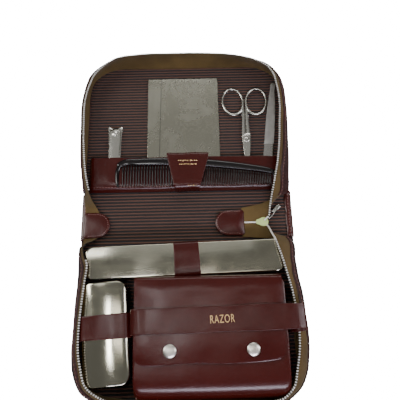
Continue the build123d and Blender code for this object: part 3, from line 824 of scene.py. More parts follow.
baseWall = {
    "controls": [
        ((-106.0, -20.5, 5.2), (-90.5, -21.0, 5.4), 0.0),
        ((-107.5, -26.5, 4.8), (-95.0, -25.5, 7.5), 0.5),
        ((-108.6, -31.0, 4.2), (-101.0, -29.5, 13.0), 1.0),
        ((-109.0, -37.0, 3.2), (-102.8, -35.5, 22.5), 1.5),
        ((-109.0, -45.0, 2.8), (-100.5, -43.5, 29.5), 2.0),
        ((-109.0, -56.0, 2.8), (-96.8, -54.5, 30.9), 2.4),
        ((-109.0, -72.0, 2.8), (-98.0, -71.0, 31.0), 2.8),
        ((-109.0, -92.0, 2.8), (-99.8, -92.0, 31.0), 3.0),
        ((-109.0, -120.0, 2.8), (-101.0, -120.0, 31.0), 3.2),
        ((-109.0, -138.0, 2.8), (-100.2, -137.0, 31.0), 3.2),
        ((-108.2, -152.7, 2.8), (-97.4, -150.0, 31.0), 3.4),
        ((-97.4, -165.2, 3.3), (-92.9, -163.6, 31.0), 5.8),
        ((-84.5, -172.8, 3.3), (-80.2, -173.4, 30.8), 5.6),
        ((-65.0, -176.6, 3.3), (-63.0, -179.2, 30.7), 4.2),
        ((-25.0, -182.0, 2.8), (-25.0, -180.3, 30.6), 1.6),
        ((30.0, -182.0, 2.8), (30.0, -180.4, 30.6), 1.6),
        ((66.0, -182.0, 2.8), (64.0, -179.9, 30.6), 1.8),
        ((87.0, -178.8, 2.8), (84.0, -177.2, 30.8), 2.2),
        ((97.0, -166.4, 3.2), (93.6, -168.4, 31.0), 5.6),
        ((102.4, -151.0, 3.3), (98.4, -152.0, 31.0), 8.6),
        ((102.6, -136.0, 3.3), (101.5, -137.0, 31.0), 9.6),
        ((102.4, -120.0, 3.3), (102.7, -120.0, 31.0), 9.4),
        ((102.8, -98.0, 3.3), (101.4, -98.5, 31.0), 8.6),
        ((103.8, -80.0, 3.3), (98.9, -81.0, 31.0), 8.0),
        ((105.0, -64.0, 3.2), (95.7, -66.0, 31.0), 6.8),
        ((106.8, -50.0, 3.2), (92.6, -52.5, 31.0), 5.6),
        ((109.0, -40.0, 2.8), (90.0, -42.5, 30.2), 4.4),
        ((108.6, -32.5, 3.2), (88.3, -35.0, 28.4), 3.4),
        ((106.0, -28.5, 4.2), (87.3, -29.3, 23.2), 1.8), ((98.0, -27.5, 4.9), (86.0, -23.6, 16.8), 0.8),
        ((88.0, -27.0, 5.1), (84.6, -18.4, 11.2), 0.4), ((79.5, -26.4, 5.1), (82.6, -14.4, 7.4), 0.2),
        ((74.0, -26.2, 5.1), (78.6, -11.2, 6.0), 0.0), ((66.0, -25.4, 5.1), (70.0, -10.4, 5.6), 0.0),
        ((57.0, -24.6, 5.2), (57.0, -10.1, 5.5), 0.0),
    ],
    "leather": (2.6, 27.9), "teeth": (4.6, 33.85), "outSign": 1,
    "leatherShare": [(2, 0.6), (5, 0.88), (11, 0.9), (16, 0.8), (18, 0.58), (20, 0.68), (22, 0.9),
                     (24, 0.86), (26, 0.6), (28, 0.4)],
    "bodies": ("base", "spine"), "bend": ((0, -0.036, 0), (0, -0.022, 0)),
    "replaces": ("base_zip_tape", "zip_bridge_base_left", "zip_bridge_base_right", "zip_stop_tape"),
}
wallLook = {
    "tape": 0.9, "leather": 1.3, "cord": 0.5, "toothPitch": 2.4,
    "tooth": (0.62, 0.8, 1.0), "wave": 0.35,
}


def wallPoints(wall, s, t):
    # straight from foot to top at each s, bowed outwards by a parabola in t, with a faint waviness
    feet, tops, bulges = [
        np.array([c[k] for c in wall["controls"]], float).reshape(len(wall["controls"]), -1)
        for k in range(3)]
    foot, top = curveAt(feet, s), curveAt(tops, s)
    along = np.gradient(foot, axis=0)
    along /= np.linalg.norm(along, axis=1)[:, None]
    out = np.stack([-along[:, 1], along[:, 0], 0 * along[:, 0]], 1) * -wall["outSign"]
    bow = (np.interp(s, np.arange(len(bulges)), bulges[:, 0])
           + wallLook["wave"] * np.sin(s * 2.3) * np.sin(s * 0.9))
    t = np.atleast_2d(t)
    grid = foot[:, None] + (top - foot)[:, None] * t[..., None]
    return grid + out[:, None] * (bow[:, None] * 4 * t * (1 - t))[..., None]


def wallNormals(wall, grid):
    # unit normals that face out of the case
    normals = np.cross(np.gradient(grid, axis=0), np.gradient(grid, axis=1)) * wall["outSign"]
    return normals / np.linalg.norm(normals, axis=2)[..., None]


def addWall(name, wall, body):
    # the tape from foot to rim, the leather strip outside it, its seam, the corded edge and the teeth
    tops = [c[1] for c in wall["controls"]]
    first, last = wall["leather"]
    s = evenSteps(tops, 260)
    t = np.linspace(0, 1, 13)
    grid = wallPoints(wall, s, t)
    # the tape's rims take the near-black painted-shade finish
    tape = addSheet(f"{name}ZipTape", grid, wallLook["tape"], zipTape, paintedShadeTape)
    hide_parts(*wall["replaces"])
    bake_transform(tape)
    size = lengths(grid, False)[-1], lengths(grid.swapaxes(0, 1), False)[-1]
    print(name, "zip tape", [round(v, 1) for v in size])

    # the leather strip stands outside the tape
    s = evenSteps(tops, 220, first, last)
    share = np.interp(s, *zip(*wall["leatherShare"]))
    t = -0.06 + (share[:, None] + 0.06) * np.linspace(0, 1, 9)
    grid = wallPoints(wall, s, t)
    normals = wallNormals(wall, grid)
    leather = addSheet(f"{name}WallLeather", grid + normals * 1.1, wallLook["leather"], pebbledLeather)
    keep(leather, body, "outer_leather", f"{name}_gusset")
    seam = grid[:, -2] * 0.75 + grid[:, -1] * 0.25
    thread = stitches(f"{name}WallStitches", seam + normals[:, -1] * 1.72, 0.0, redThread, 2.2, 1.4,
                      0.26, normals[:, -1])
    keep(thread, body, "outer_leather")

    # corded edge of the tape, and the teeth clamped on it
    first, last = wall["teeth"]
    s = evenSteps(tops, 320, first, last)
    grid = wallPoints(wall, s, np.array([0.95, 1.0]))
    # the cord is near black: painted shade between the teeth
    cord = addGrid(f"{name}TapeCord", tubeAlong(grid[:, 1], wallLook["cord"], wallLook["cord"], 8),
                   paintedShadeTape, closedColumns=True, caps=True)
    count = int(lengths(grid[:, 1:], False)[-1] / wallLook["toothPitch"])
    s = evenSteps(tops, count, first, last)
    if name == "base":
        s = s[:-1] + np.diff(s) / 2
    grid = wallPoints(wall, s, np.array([0.93, 1.0]))
    up = grid[:, 1] - grid[:, 0]
    along = np.gradient(grid[:, 1], axis=0)
    along /= np.linalg.norm(along, axis=1)[:, None]
    up -= along * (up * along).sum(1)[:, None]
    up /= np.linalg.norm(up, axis=1)[:, None]
    axes = np.stack([along, np.cross(up, along), up], 1)
    teeth = repeated(f"{name}ZipTeeth", cutBlock(*wallLook["tooth"], 0.4), grid[:, 1] + up * 0.85, axes,
                     zipMetal)
    for obj, slotName in ((cord, "zip_tape"), (teeth, "zip_metal")):
        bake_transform(obj)
    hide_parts(f"{name}_zip_teeth", *(("zip_closed_teeth",) if name == "lid" else ()))


addWall("lid", lidWall, "lid")
addWall("base", baseWall, "base")
print("walls and zip made")


# leather strips that bind the two short edges of the spine

binding = {
    "path": [(103.6, 4.0), (105.4, 4.75), (107.8, 4.7), (109.8, 3.9), (110.5, 2.2), (110.3, 0.6)],
    "end": 24.9, "thickness": 1.1,
}
for name, side in (("Left", -1), ("Right", 1)):
    y = np.linspace(-binding["end"], binding["end"], 60)
    path = evenCurve(binding["path"], 16)
    ripple = 0.25 * np.sin(y * 0.33 + side) + 0.15 * np.sin(y * 0.71)
    x = side * (path[None, :, 0] + ripple[:, None] * np.linspace(1, 0, 16))
    z = path[None, :, 1] + 0.3 * np.exp(-((np.abs(y) - 22.5) ** 2) / 1.2)[:, None]
    grid = np.stack([x, np.repeat(y[:, None], 16, 1), z + 0 * x], -1)
    strip = addSheet(f"spineBinding{name}", grid, binding["thickness"], glossLeather, rawEdge)
    keep(strip, "spine", "outer_leather", f"spine_binding_{name.lower()}")
    line = grid[4:-4, 5] + np.array([0, 0, 0.55])
    keep(stitches(f"bindingStitches{name}", line, 0.0, redThread), "spine", "outer_leather")


# leather tabs over the two ends of the zip, with the slider between the right one and the teeth

tabs = {
    "Stop": {"round": -80.0, "straight": -107.0, "low": 5.9, "high": 7.2, "crown": 0.9,
             "node": "zip_stop_tab"},
    "End": {"round": 29.2, "straight": 59.4, "low": 3.5, "high": 6.9, "crown": 1.7,
            "node": "zip_end_tab"},
    "radius": 13.5, "y": -9.5,
}


def tabLoop(roundX, straightX, radius, y, count=72):
    # half a circle closed by two straight sides and a nearly straight end
    side = 1 if roundX > straightX else -1
    centre = roundX - side * radius
    angle = np.linspace(-np.pi / 2, np.pi / 2, 14)
    controls = [(centre + side * radius * math.cos(a), y + radius * math.sin(a)) for a in angle]
    end = straightX + side * 0.5
    controls += [((centre + end) / 2, y + radius), (end + side, y + radius - 0.1),
                 (end - side * 0.3, y + radius - 1.4)]
    controls += [(straightX, y + radius / 2), (straightX, y), (straightX, y - radius / 2)]
    controls += [(end - side * 0.3, y - radius + 1.4), (end + side, y - radius + 0.1),
                 ((centre + end) / 2, y - radius)]
    loop = evenLoop(controls, count)
    return loop if side > 0 else loop[::-1]


for name in ("Stop", "End"):
    tab = tabs[name]
    loop = tabLoop(tab["round"], tab["straight"], tabs["radius"], tabs["y"])
    rings = ringPoints(loop, plateRings(tab["low"], tab["high"], 0.6,
                                        fills=(0.0, 0.25, 0.5, 0.72, 0.9)))
    middle = (loop.max(0) + loop.min(0)) / 2
    reachX, reachY = (loop.max(0) - loop.min(0)) / 2
    x, y = (rings[..., 0] - middle[0]) / reachX, (rings[..., 1] - middle[1]) / reachY
    puff = np.clip(1 - x**4, 0, 1) * np.clip(1 - y**2, 0, 1)
    dimple = 0.35 * np.sin(x * 3.1 + 0.6) * np.cos(y * 2.3)
    rings[..., 2] += (tab["crown"] * puff + dimple * puff) * (rings[..., 2] > tab["high"] - 0.3)
    keep(addGrid(f"zip{name}Tab", rings, glossLeather, closedColumns=True), "spine", "gloss_leather",
         tab["node"])
    inner = loop - outwards(loop) * 2.0
    order = np.argsort(np.abs(inner[:, 0] - tab["straight"]))
    begin = int(order[0])
    inner = np.roll(inner, -begin, axis=0)
    inner = inner[np.abs(inner[:, 0] - tab["straight"]) > 3.2]
    x, y = (inner[:, 0] - middle[0]) / reachX, (inner[:, 1] - middle[1]) / reachY
    crown = tab["crown"] + 0.35 * np.sin(x * 3.1 + 0.6) * np.cos(y * 2.3)
    lift = tab["high"] + crown * np.clip(1 - x**4, 0, 1) * np.clip(1 - y**2, 0, 1)
    line = np.concatenate([inner, lift[:, None]], 1)
    keep(stitches(f"zip{name}TabStitches", line, -0.02, redThread, 1.5, 0.9, 0.18), "spine",
         "gloss_leather")


slider = {
    "shape": [(72.4, -2.4), (74.6, -2.9), (76.8, -4.1), (79.6, -4.8), (82.4, -4.2), (84.1, -2.0),
              (84.1, 2.0), (82.4, 4.2), (79.6, 4.8), (76.8, 4.1), (74.6, 2.9), (72.4, 2.4)],
    "low": (3.5, 4.2), "high": (7.0, 7.9), "flange": 0.9,
}
loop = evenLoop(slider["shape"], 56) + np.array([0, tabs["y"]])
parts = []
for name, (low, high), crown in (("Lower", slider["low"], 0.0), ("Upper", slider["high"], 0.45)):
    rings = ringPoints(loop, plateRings(low, high, 0.34, 4, crown))
    parts.append(addGrid(f"zipSlider{name}Plate", rings, sliderEnamel, closedColumns=True))
    walls = []
    edge = low - slider["flange"] if name == "Upper" else high + slider["flange"] * 0.8
    flangeZ = (low + 0.2, edge) if name == "Upper" else (edge, high - 0.2)
    for side in (-1, 1):
        path = [(x, side * y - side * 0.45, 0)
                for x, y in ((72.8, 2.4), (74.6, 2.9), (76.8, 4.1), (79.4, 4.7))]
        path = evenCurve(path, 18) + np.array([0, tabs["y"], 0])
        rail = np.stack([path + np.array([0, 0, z]) for z in np.linspace(*flangeZ, 3)], 1)
        walls.append(addSheet(f"zipSlider{name}Rail{'Left' if side < 0 else 'Right'}", rail, 0.7,
                              sliderEnamel))
    parts += walls
post = ringPoints(evenLoop([(79.2, -9.5), (81.0, -10.9), (82.9, -9.5), (81.0, -8.1)], 24),
                  plateRings(4.1, 7.1, 0.1, 2))
parts.append(addGrid("zipSliderPost", post, sliderEnamel, closedColumns=True))
arch = evenCurve([(80.6, -8.4, 7.9), (80.9, -7.8, 9.2), (82.4, -6.4, 9.5), (83.8, -5.0, 9.3),
                  (84.3, -4.6, 7.7)], 22)
parts.append(addGrid("zipSliderArch", tubeAlong(arch, 0.85, 0.5, 10), zipMetal, closedColumns=True,
                     caps=True))
for k, part in enumerate(parts):
    keep(part, "zip_slider", "slider_enamel", *(("zip_slider",) if k == 0 else ()))

puller = {
    "outline": [(-1.9, -0.6), (0, -1.2), (1.9, -0.6), (2.2, 4.0), (1.8, 10.0), (2.0, 14.5), (1.6, 17.0),
                (0, 17.8), (-1.6, 17.0), (-2.0, 14.5), (-1.8, 10.0), (-2.2, 4.0)],
    "hole": [(-1.2, 0.9), (0, 0.5), (1.2, 0.9), (1.5, 3.5), (1.1, 6.6), (0, 7.6), (-1.1, 6.6),
             (-1.5, 3.5)],
    "low": 6.4, "high": 7.3, "place": (84.9, -4.3), "turn": -45.0,
}


def addRingPlate(name, outline, hole, low, high, edge, material, place=(0, 0), turn=0.0, count=72):
    # a flat plate with a hole: a rounded four-sided section carried round both outlines
    outer, inner = evenLoop(outline, count), evenLoop(hole, count)
    shift = int(np.argmin(np.linalg.norm(inner - inner.mean(0) - (outer[0] - outer.mean(0)) * 0.4,
                                         axis=1)))
    inner = np.roll(inner, -shift, axis=0)
    away, into = outwards(outer), outwards(inner)
    section = []
    for loop, normals, sign in ((outer, away, -1), (inner, into, 1)):
        rim = [(edge, low), (edge * 0.3, low + edge * 0.3), (0, low + edge), (0, high - edge),
               (edge * 0.3, high - edge * 0.3), (edge, high)]
        rim = rim if sign < 0 else rim[::-1]
        section += [np.concatenate([loop + sign * normals * inset, np.full((count, 1), z)], 1)
                    for inset, z in rim]
    grid = turned(np.stack(section), (0, 0), turn) + np.array([*place, 0])
    return addGrid(name, grid, material, closedRows=True, closedColumns=True)


pull = addRingPlate("zipPuller", puller["outline"], puller["hole"], puller["low"], puller["high"], 0.25,
                    toolSteel, puller["place"], puller["turn"])
keep(pull, "zip_puller", "zip_metal", "zip_puller")
print("zip ends made")


# straps: a path in the plane of its arch, carried across the strap's width

straps = {
    # name: (path, low and high edge, axis of the path, turn in degrees about the path's middle, node)
    "boxStrap": ([(-67.6, 3.4), (-67.9, 14.0), (-67.5, 22.5), (-65.6, 26.2), (-60.5, 27.15),
                  (-50.0, 27.3), (-39.5, 27.15),
                  (-34.4, 26.2), (-32.6, 22.5), (-32.2, 14.0), (-32.5, 3.4)], (-12.9, 12.1), "Y", 3.0,
                 "box_strap"),
    "brushStrap": ([(-101.6, 3.4), (-102.2, 16.0), (-101.6, 25.0), (-98.6, 29.6), (-91.0, 31.3),
                    (-77.0, 31.9), (-64.0, 31.3),
                    (-56.0, 29.7), (-52.9, 26.0), (-52.3, 17.0), (-53.4, 3.4)], (-123.8, -101.8), "X",
                   3.2, "brush_strap"),
    "pouchBand": ([(-51.6, 3.4), (-52.7, 14.0), (-52.6, 30.0), (-51.6, 37.2), (-48.0, 39.7),
                   (-38.0, 39.75), (20.0, 39.5),
                   (84.0, 39.6), (97.0, 39.6), (104.0, 38.8), (107.6, 37.2), (108.0, 35.4),
                   (105.2, 34.3), (99.5, 33.4),
                   (96.2, 29.5), (95.3, 20.0), (95.0, 3.4)], (-120.0, -97.0), "X", 0.9, "pouch_band"),
}
strapLook = {"thickness": 1.15, "columns": 18}


def addStrap(name, path, edges, axis, turn, node):
    # the path's points, with the strap's width as the second parameter; its rims lift a little
    rows = evenCurve(path, 150)
    u = np.linspace(-1, 1, strapLook["columns"])
    middle = sum(edges) / 2
    width = middle + u * (edges[1] - edges[0]) / 2
    rows = np.repeat(rows[:, None], len(u), axis=1)
    across = np.repeat(width[None, :], len(rows), axis=0)
    along = rows[..., 0]
    top = (rows[..., 1] > rows[..., 1].max() - 3.0) * 1.0
    rise = top * (0.28 * u[None, :] ** 4 + 0.14 * np.sin(along * 0.21) * u[None, :])
    edgeWave = 0.22 * np.sin(along * 0.09 + u[None, :] * 1.3)
    # past its turn at the right wall the band runs back beneath itself, a little nearer
    beneath = np.clip(((along > 95) & (rows[..., 1] < 36.4)) * (36.4 - rows[..., 1]) / 2.5, 0, 1)
    across = across - 2.4 * beneath
    flat = [along, across + edgeWave] if axis == "X" else [across + edgeWave, along]
    grid = np.stack([*flat, rows[..., 1] + rise], -1)
    centre = (along.mean(), middle) if axis == "X" else (middle, along.mean())
    grid = turned(grid, centre, turn)
    strap = addSheet(name, grid, strapLook["thickness"], glossLeather, rawEdge)
    keep(strap, "base", "gloss_leather", node)


for name, spec in straps.items():
    addStrap(name, *spec)


# gold word on the band, in plain block letters

word = {"text": "RAZOR", "height": 7.4, "narrow": 0.62, "middle": (31.3, -108.9), "z": 40.06,
        "turn": 2.0, "thick": 0.08}
letters = bpy.data.curves.new("bandWord", "FONT")
letters.body, letters.size = word["text"], word["height"] / 0.72
letters.align_x, letters.align_y = "CENTER", "CENTER"
letters.extrude, letters.space_character = word["thick"], 1.12
holder = bpy.data.objects.new("bandWordCurve", letters)
bpy.context.scene.collection.objects.link(holder)
bpy.context.view_layer.update()
mesh = bpy.data.meshes.new_from_object(holder.evaluated_get(bpy.context.evaluated_depsgraph_get()))
flat = np.zeros(len(mesh.vertices) * 3)
mesh.vertices.foreach_get("co", flat)
flat = flat.reshape(-1, 3) * np.array([word["narrow"], 1.0, 1.0])
flat = turned(flat, (0, 0), word["turn"]) + np.array([*word["middle"], word["z"]])
mesh.vertices.foreach_set("co", (flat * mm).ravel())
mesh.materials.append(goldFoil)
bpy.data.objects.remove(holder)
foil = bpy.data.objects.new("bandWord", mesh)
bpy.context.scene.collection.objects.link(foil)
keep(foil, "base", "gloss_leather")


# tool pocket in the lid, and the tongue that holds the comb

pocket = {
    "left": -104.2, "right": 100.5, "thickness": 1.0,
    "path": [(27.0, 3.9), (27.9, 5.0), (30.0, 7.4), (33.5, 8.6), (40.0, 9.0), (52.0, 9.0), (64.6, 8.9)],
    # tools under it: (x, half width, lift)
    "lumps": [(-78.2, 8.5, 0.5), (-3.0, 38.0, 0.25), (66.8, 8.0, 0.55), (89.0, 7.0, 0.35)],
}


def pocketLift(x, y):
    lift = sum(h * np.exp(-(((x - at) / half) ** 4)) for at, half, h in pocket["lumps"])
    sag = 0.4 * np.sin(x * 0.075 + 1.0) + 0.22 * np.sin(x * 0.17 + y * 0.1)
    return (lift + sag - 0.1) * np.clip((y - 29.0) / 9.0, 0, 1)


x = np.linspace(pocket["left"], pocket["right"], 130)
path = evenCurve(pocket["path"], 34)
grid = np.zeros((130, 34, 3))
grid[..., 0] = x[:, None]
grid[..., 1] = (path[None, :, 0] + (0.5 * np.sin(x * 0.031 + 0.6) - 0.012 * x)[:, None]
                * np.clip((path[None, :, 0] - 40) / 25, 0, 1))
grid[..., 2] = path[None, :, 1] + pocketLift(x[:, None], path[None, :, 0])
endDrop = np.clip(1 - np.minimum(x - pocket["left"], pocket["right"] - x) / 4.0, 0, 1)[:, None] ** 2
grid[..., 2] = grid[..., 2] * (1 - endDrop) + endDrop * np.minimum(grid[..., 2], 4.0)
keep(addSheet("toolPocket", grid, pocket["thickness"], glossLeather, rawEdge), "lid", "gloss_leather",
     "tool_pocket")
line = grid[3:-3, 5] + np.array([0, 0, 0.5])
keep(stitches("pocketStitches", line, 0.05, redThread, 1.9, 1.2, 0.22), "lid", "gloss_leather")

tongue = {
    "path": [(27.0, 3.9), (27.1, 7.6), (28.0, 11.6), (30.4, 13.4), (38.0, 13.7), (52.0, 13.7),
             (62.0, 13.8), (66.2, 13.7),
             (67.8, 12.6), (67.6, 10.6), (66.0, 9.9), (58.0, 9.9)],
    "widths": [(22.0, -11.6, 13.0), (30.0, -13.0, 14.8), (63.0, -20.6, 23.8), (70.0, -21.0, 24.2)],
    "thickness": 0.9,
}
path = evenCurve(tongue["path"], 90)
u = np.linspace(0, 1, 20)
widths = np.array(tongue["widths"])
low, high = [np.interp(path[:, 0], widths[:, 0], widths[:, k]) for k in (1, 2)]
grid = np.zeros((90, 20, 3))
grid[..., 0] = low[:, None] + (high - low)[:, None] * u
grid[..., 1] = path[:, 0][:, None] + 0.3 * np.sin(grid[..., 0] * 0.2)
ripple = np.sin(grid[..., 0] * 0.13 + path[:, 0][:, None] * 0.05)
grid[..., 2] = path[:, 1][:, None] + 0.25 * ripple * (path[:, 1] > 12)[:, None]
keep(addSheet("combTongue", grid, tongue["thickness"], glossLeather, rawEdge), "lid", "gloss_leather",
     "comb_tab")
tongueTop = lambda x, y: (np.interp(y, path[:60, 0], path[:60, 1])
                          + 0.25 * np.sin(x * 0.13 + y * 0.05) * (y > 29.5)
                          + tongue["thickness"] / 2)

# plain gold rules where the maker's lines were, and one at the foot
rules = {"lines": [(-8.6, 12.2, 58.4), (-7.6, 11.2, 54.2), (-9.6, 11.0, 29.8)], "dash": (0.8, 1.9),
         "gap": 0.55}
blocks = []
for k, (x0, x1, y) in enumerate(rules["lines"]):
    at, step = x0, 0
    while at < x1:
        long = rules["dash"][step % 2] * (1.0 + 0.25 * math.sin(step * 2.1 + k))
        xs = np.linspace(at, min(at + long, x1), 4)
        ys = y + np.linspace(-0.32, 0.32, 2) * (2.0 if k < 2 else 1.2)
        px, py = np.meshgrid(xs, ys, indexing="ij")
        blocks.append(np.stack([px, py, tongueTop(px, py) + 0.03], -1))
        at, step = at + long + rules["gap"], step + 1
faces, places = gridFaces(4, 2, False, False)
points = np.concatenate([b.reshape(-1, 3) for b in blocks])
faces = np.concatenate([faces + 8 * k for k in range(len(blocks))]).tolist()
rule = addMesh("tongueGoldRules", points, faces, goldFoil, close=False)
solid = rule.modifiers.new("thickness", "SOLIDIFY")
solid.thickness, solid.offset = 0.06 * mm, 0.0
keep(finished(rule), "lid", "gloss_leather")
print("straps and pocket made")


# long box for a toothbrush: a tray, and a lid whose sides reach down over it

longBox = {
    "length": 193.8, "width": 32.0, "radius": 7.4, "middle": (-2.5, -50.0), "turn": 1.4, "crown": 0.16,
    "lid": (13.0, 25.4), "tray": (3.4, 17.0), "wall": 0.7, "gap": 1.0,
}


def boxLoop(inset):
    # the box's rounded outline about its own middle, drawn in by inset
    length, width = longBox["length"] / 2 - inset, longBox["width"] / 2 - inset
    return roundedBox(-length, length, -width, width, longBox["radius"] - inset, 10, 22)


def seated(rings, spec):
    # moved to its middle and turned there
    return turned(rings + np.array([*spec["middle"], 0]), spec["middle"], spec["turn"])


low, high = longBox["lid"]
wall = longBox["wall"]
arc = [(1.1 * (1 - math.cos(a)), 1.0, high - 1.1 * (1 - math.sin(a)))
       for a in np.linspace(0, np.pi / 2, 8)]
rings = [(3.0, 0.0, high - wall), (3.0, 0.5, high - wall), (3.0, 1.0, high - wall),
         (wall + 0.5, 1.0, high - wall - 0.5), (wall, 1.0, high - 3.2),
         (wall, 1.0, low + 0.2), (wall * 0.5, 1.0, low), (0.0, 1.0, low + 0.2), (0.0, 1.0, low + 4.0),
         *arc]
rings += [(1.1, f, high) for f in (0.985, 0.95, 0.9, 0.8, 0.65, 0.45, 0.2, 0.0)]
rings = ringPoints(boxLoop(0.0), rings)
x, y = rings[..., 0] / 96.9, rings[..., 1] / 16.0
onTop = np.clip((rings[..., 2] - (high - 0.4)) / 0.3, 0, 1) * (np.arange(len(rings)) > 8)[:, None]
hollows = 0.07 * np.sin(x * 5.0 + 0.8) * np.cos(y * 1.7) + 0.03 * np.sin(x * 13.0 + y)
rings[..., 2] += onTop * (longBox["crown"] * (1 - y**2) + hollows * (1 - y**2))
lid = addGrid("toothbrushBoxLid", seated(rings, longBox), polishedSteel, closedColumns=True)
keep(lid, "toothbrush_box_lid", "plated_steel", "toothbrush_box_lid")
low, high = longBox["tray"]
inset = longBox["gap"]
rings = [(inset + 2, 0.0, low), (inset + 2, 0.5, low), (inset + 1.2, 1.0, low),
         (inset + 0.3, 1.0, low + 0.3), (inset, 1.0, low + 1.2),
         (inset, 1.0, high - 0.2), (inset + wall / 2, 1.0, high), (inset + wall, 1.0, high - 0.2),
         (inset + wall, 1.0, low + 2.0),
         (inset + wall + 0.4, 1.0, low + wall + 0.3), (inset + wall + 1.5, 1.0, low + wall),
         (inset + 3, 0.5, low + wall), (inset + 3, 0.0, low + wall)]
tray = addGrid("toothbrushBoxTray", seated(ringPoints(boxLoop(0.0), rings), longBox), polishedSteel,
               closedColumns=True)
keep(tray, "toothbrush_box", "plated_steel", "toothbrush_box_tray")


# brush: a domed plated back on a black block, with rows of bristles that splay at their ends

brush = {
    "width": 42.6, "length": 93.6, "radius": 8.6, "middle": (-77.3, -118.0), "turn": 4.0,
    "back": (24.0, 29.9), "block": (18.8, 24.2), "bristles": (3.4, 19.5), "rows": (17, 38),
    "splay": 3.2,
}


def brushLoop(inset):
    # the brush's rounded outline about its own middle, drawn in by inset
    w, l = brush["width"] / 2 - inset, brush["length"] / 2 - inset
    return roundedBox(-w, w, -l, l, brush["radius"] - inset, 12, 16)


low, high = brush["back"]
rings = [(1.2, 0.0, low), (1.2, 0.6, low), (1.2, 1.0, low), (0.3, 1.0, low), (0.0, 1.0, low + 0.3),
         (0.0, 1.0, low + 1.6)]
rings += [(0.9 * (1 - math.cos(a)), 1.0, low + 1.9 + 0.9 * math.sin(a))
          for a in np.linspace(0, np.pi / 2, 6)]
rings += [(0.9, f, low + 2.8) for f in (0.985, 0.96, 0.93, 0.88, 0.82, 0.74, 0.65, 0.55, 0.44, 0.33,
                                        0.22, 0.11, 0.0)]
rings = ringPoints(brushLoop(0.0), rings)
x, y = rings[..., 0] / (brush["width"] / 2 - 0.9), rings[..., 1] / (brush["length"] / 2 - 0.9)
dome = 1.6 * (high - low - 2.8) * (np.sqrt(np.clip(1 - 0.8 * x**2, 0.2, 1)) - math.sqrt(0.2))
rings[..., 2] += (np.arange(len(rings)) > 5)[:, None] * dome * (1 - 0.18 * np.abs(y) ** 5)
back = addGrid("brushBack", seated(rings, brush), polishedSteel, closedColumns=True)
keep(back, "brush", "plated_steel", "brush_back")
rings = ringPoints(brushLoop(0.8), plateRings(*brush["block"], 1.2))
keep(addGrid("brushBlock", seated(rings, brush), blackPlastic, closedColumns=True), "brush",
     "black_plastic", "brush_block")

u, v = [a.ravel() for a in np.meshgrid(np.linspace(-1, 1, brush["rows"][0]),
                                       np.linspace(-1, 1, brush["rows"][1]), indexing="ij")]
rootX, rootY = u * (brush["width"] / 2 - 3.0), v * (brush["length"] / 2 - 3.0)
corner = (np.abs(u) ** 6 + np.abs(v) ** 10) < 1.35
strands = []
for k in range(4):
    wobbleX = np.sin(np.arange(len(u)) * 12.9898 + k * 4.1) * 0.9
    wobbleY = np.sin(np.arange(len(u)) * 78.233 + k * 2.3) * 0.9
    start = np.stack([rootX + wobbleX * 0.7, rootY + wobbleY * 0.7,
                      np.full(len(u), brush["bristles"][1])], -1)
    lean = brush["splay"] * (0.8 + 0.35 * np.sin(np.arange(len(u)) * 3.7 + k))
    tip = np.stack([rootX * 1.02 + u**3 * lean + wobbleX * 1.5,
                    rootY * 1.01 + v**5 * lean + wobbleY * 1.5,
                    brush["bristles"][0] + 0.9 * np.abs(np.sin(np.arange(len(u)) * 5.1 + k)) + 0 * u],
                   -1)
    strands.append(np.stack([start, (start * 0.45 + tip * 0.55) + np.array([0, 0, 0.5]), tip],
                            1)[corner])
strands = np.concatenate(strands)
section = np.stack([np.cos(np.arange(5) * 1.2566), np.sin(np.arange(5) * 1.2566), np.zeros(5)], 1)
thick = np.array([0.5, 0.46, 0.22])[None, :, None, None]
tubes = strands[:, :, None, :] + section[None, None] * thick
tubes = seated(tubes, brush)
faces = gridFaces(3, 5, False, True)[0]
one = faces.tolist() + [[4, 3, 2, 1, 0], [10, 11, 12, 13, 14]]
step = 15 * np.arange(len(strands))
faces = [row for f in one for row in (np.array(f)[None] + step[:, None]).tolist()]
hair = addMesh("brushBristles", tubes.reshape(-1, 3), faces, bristleHair)
keep(hair, "brush", "bristle", "brush_bristles")
print("box and brush made,", len(strands), "bristles")


# pouch: an open leather body, a flap that wraps over its far edge, and two snap fasteners

pouch = {
    "left": -50.0, "right": 91.5, "far": -70.0, "bottom": 3.6, "top": 34.4, "wall": 2.0,
    # near edge at each level of the outside: the front leans and rounds over into the top
    "levels": [(0.0, -176.0), (2.0, -178.2), (10.0, -179.0), (18.0, -178.4), (23.5, -176.4),
               (27.5, -172.8), (29.9, -168.6), (30.8, -163.0)],
    "mouth": (-43.0, 84.5, -107.5, -74.2), "corner": 7.0,
}


def pouchLoop(near, far, left, right, radius):
    # rounded outline with enough points for a soft body
    return roundedBox(left, right, near, far, radius, 9, 26)


def pouchRing(height, near, inset, bulge):
    # one level of the body; its sides swell by bulge between the corners
    loop = pouchLoop(near + inset, pouch["far"] - inset, pouch["left"] + inset, pouch["right"] - inset,
                     pouch["corner"] - inset * 0.6)
    middle = (loop.max(0) + loop.min(0)) / 2
    across = (loop - middle) / ((loop.max(0) - loop.min(0)) / 2)
    loop = loop + outwards(loop) * (bulge * (1 - np.min(np.abs(across), axis=1) ** 2) - 0.5)[:, None]
    return np.concatenate([loop, np.full((len(loop), 1), pouch["bottom"] + height)], 1)


def shrink(ring, share, z=None):
    # scaled towards its own middle, and set to height z if one is given
    middle = (ring.max(0) + ring.min(0)) / 2
    out = middle + (ring - middle) * share
    out[:, 2] = ring[:, 2] if z is None else z
    return out


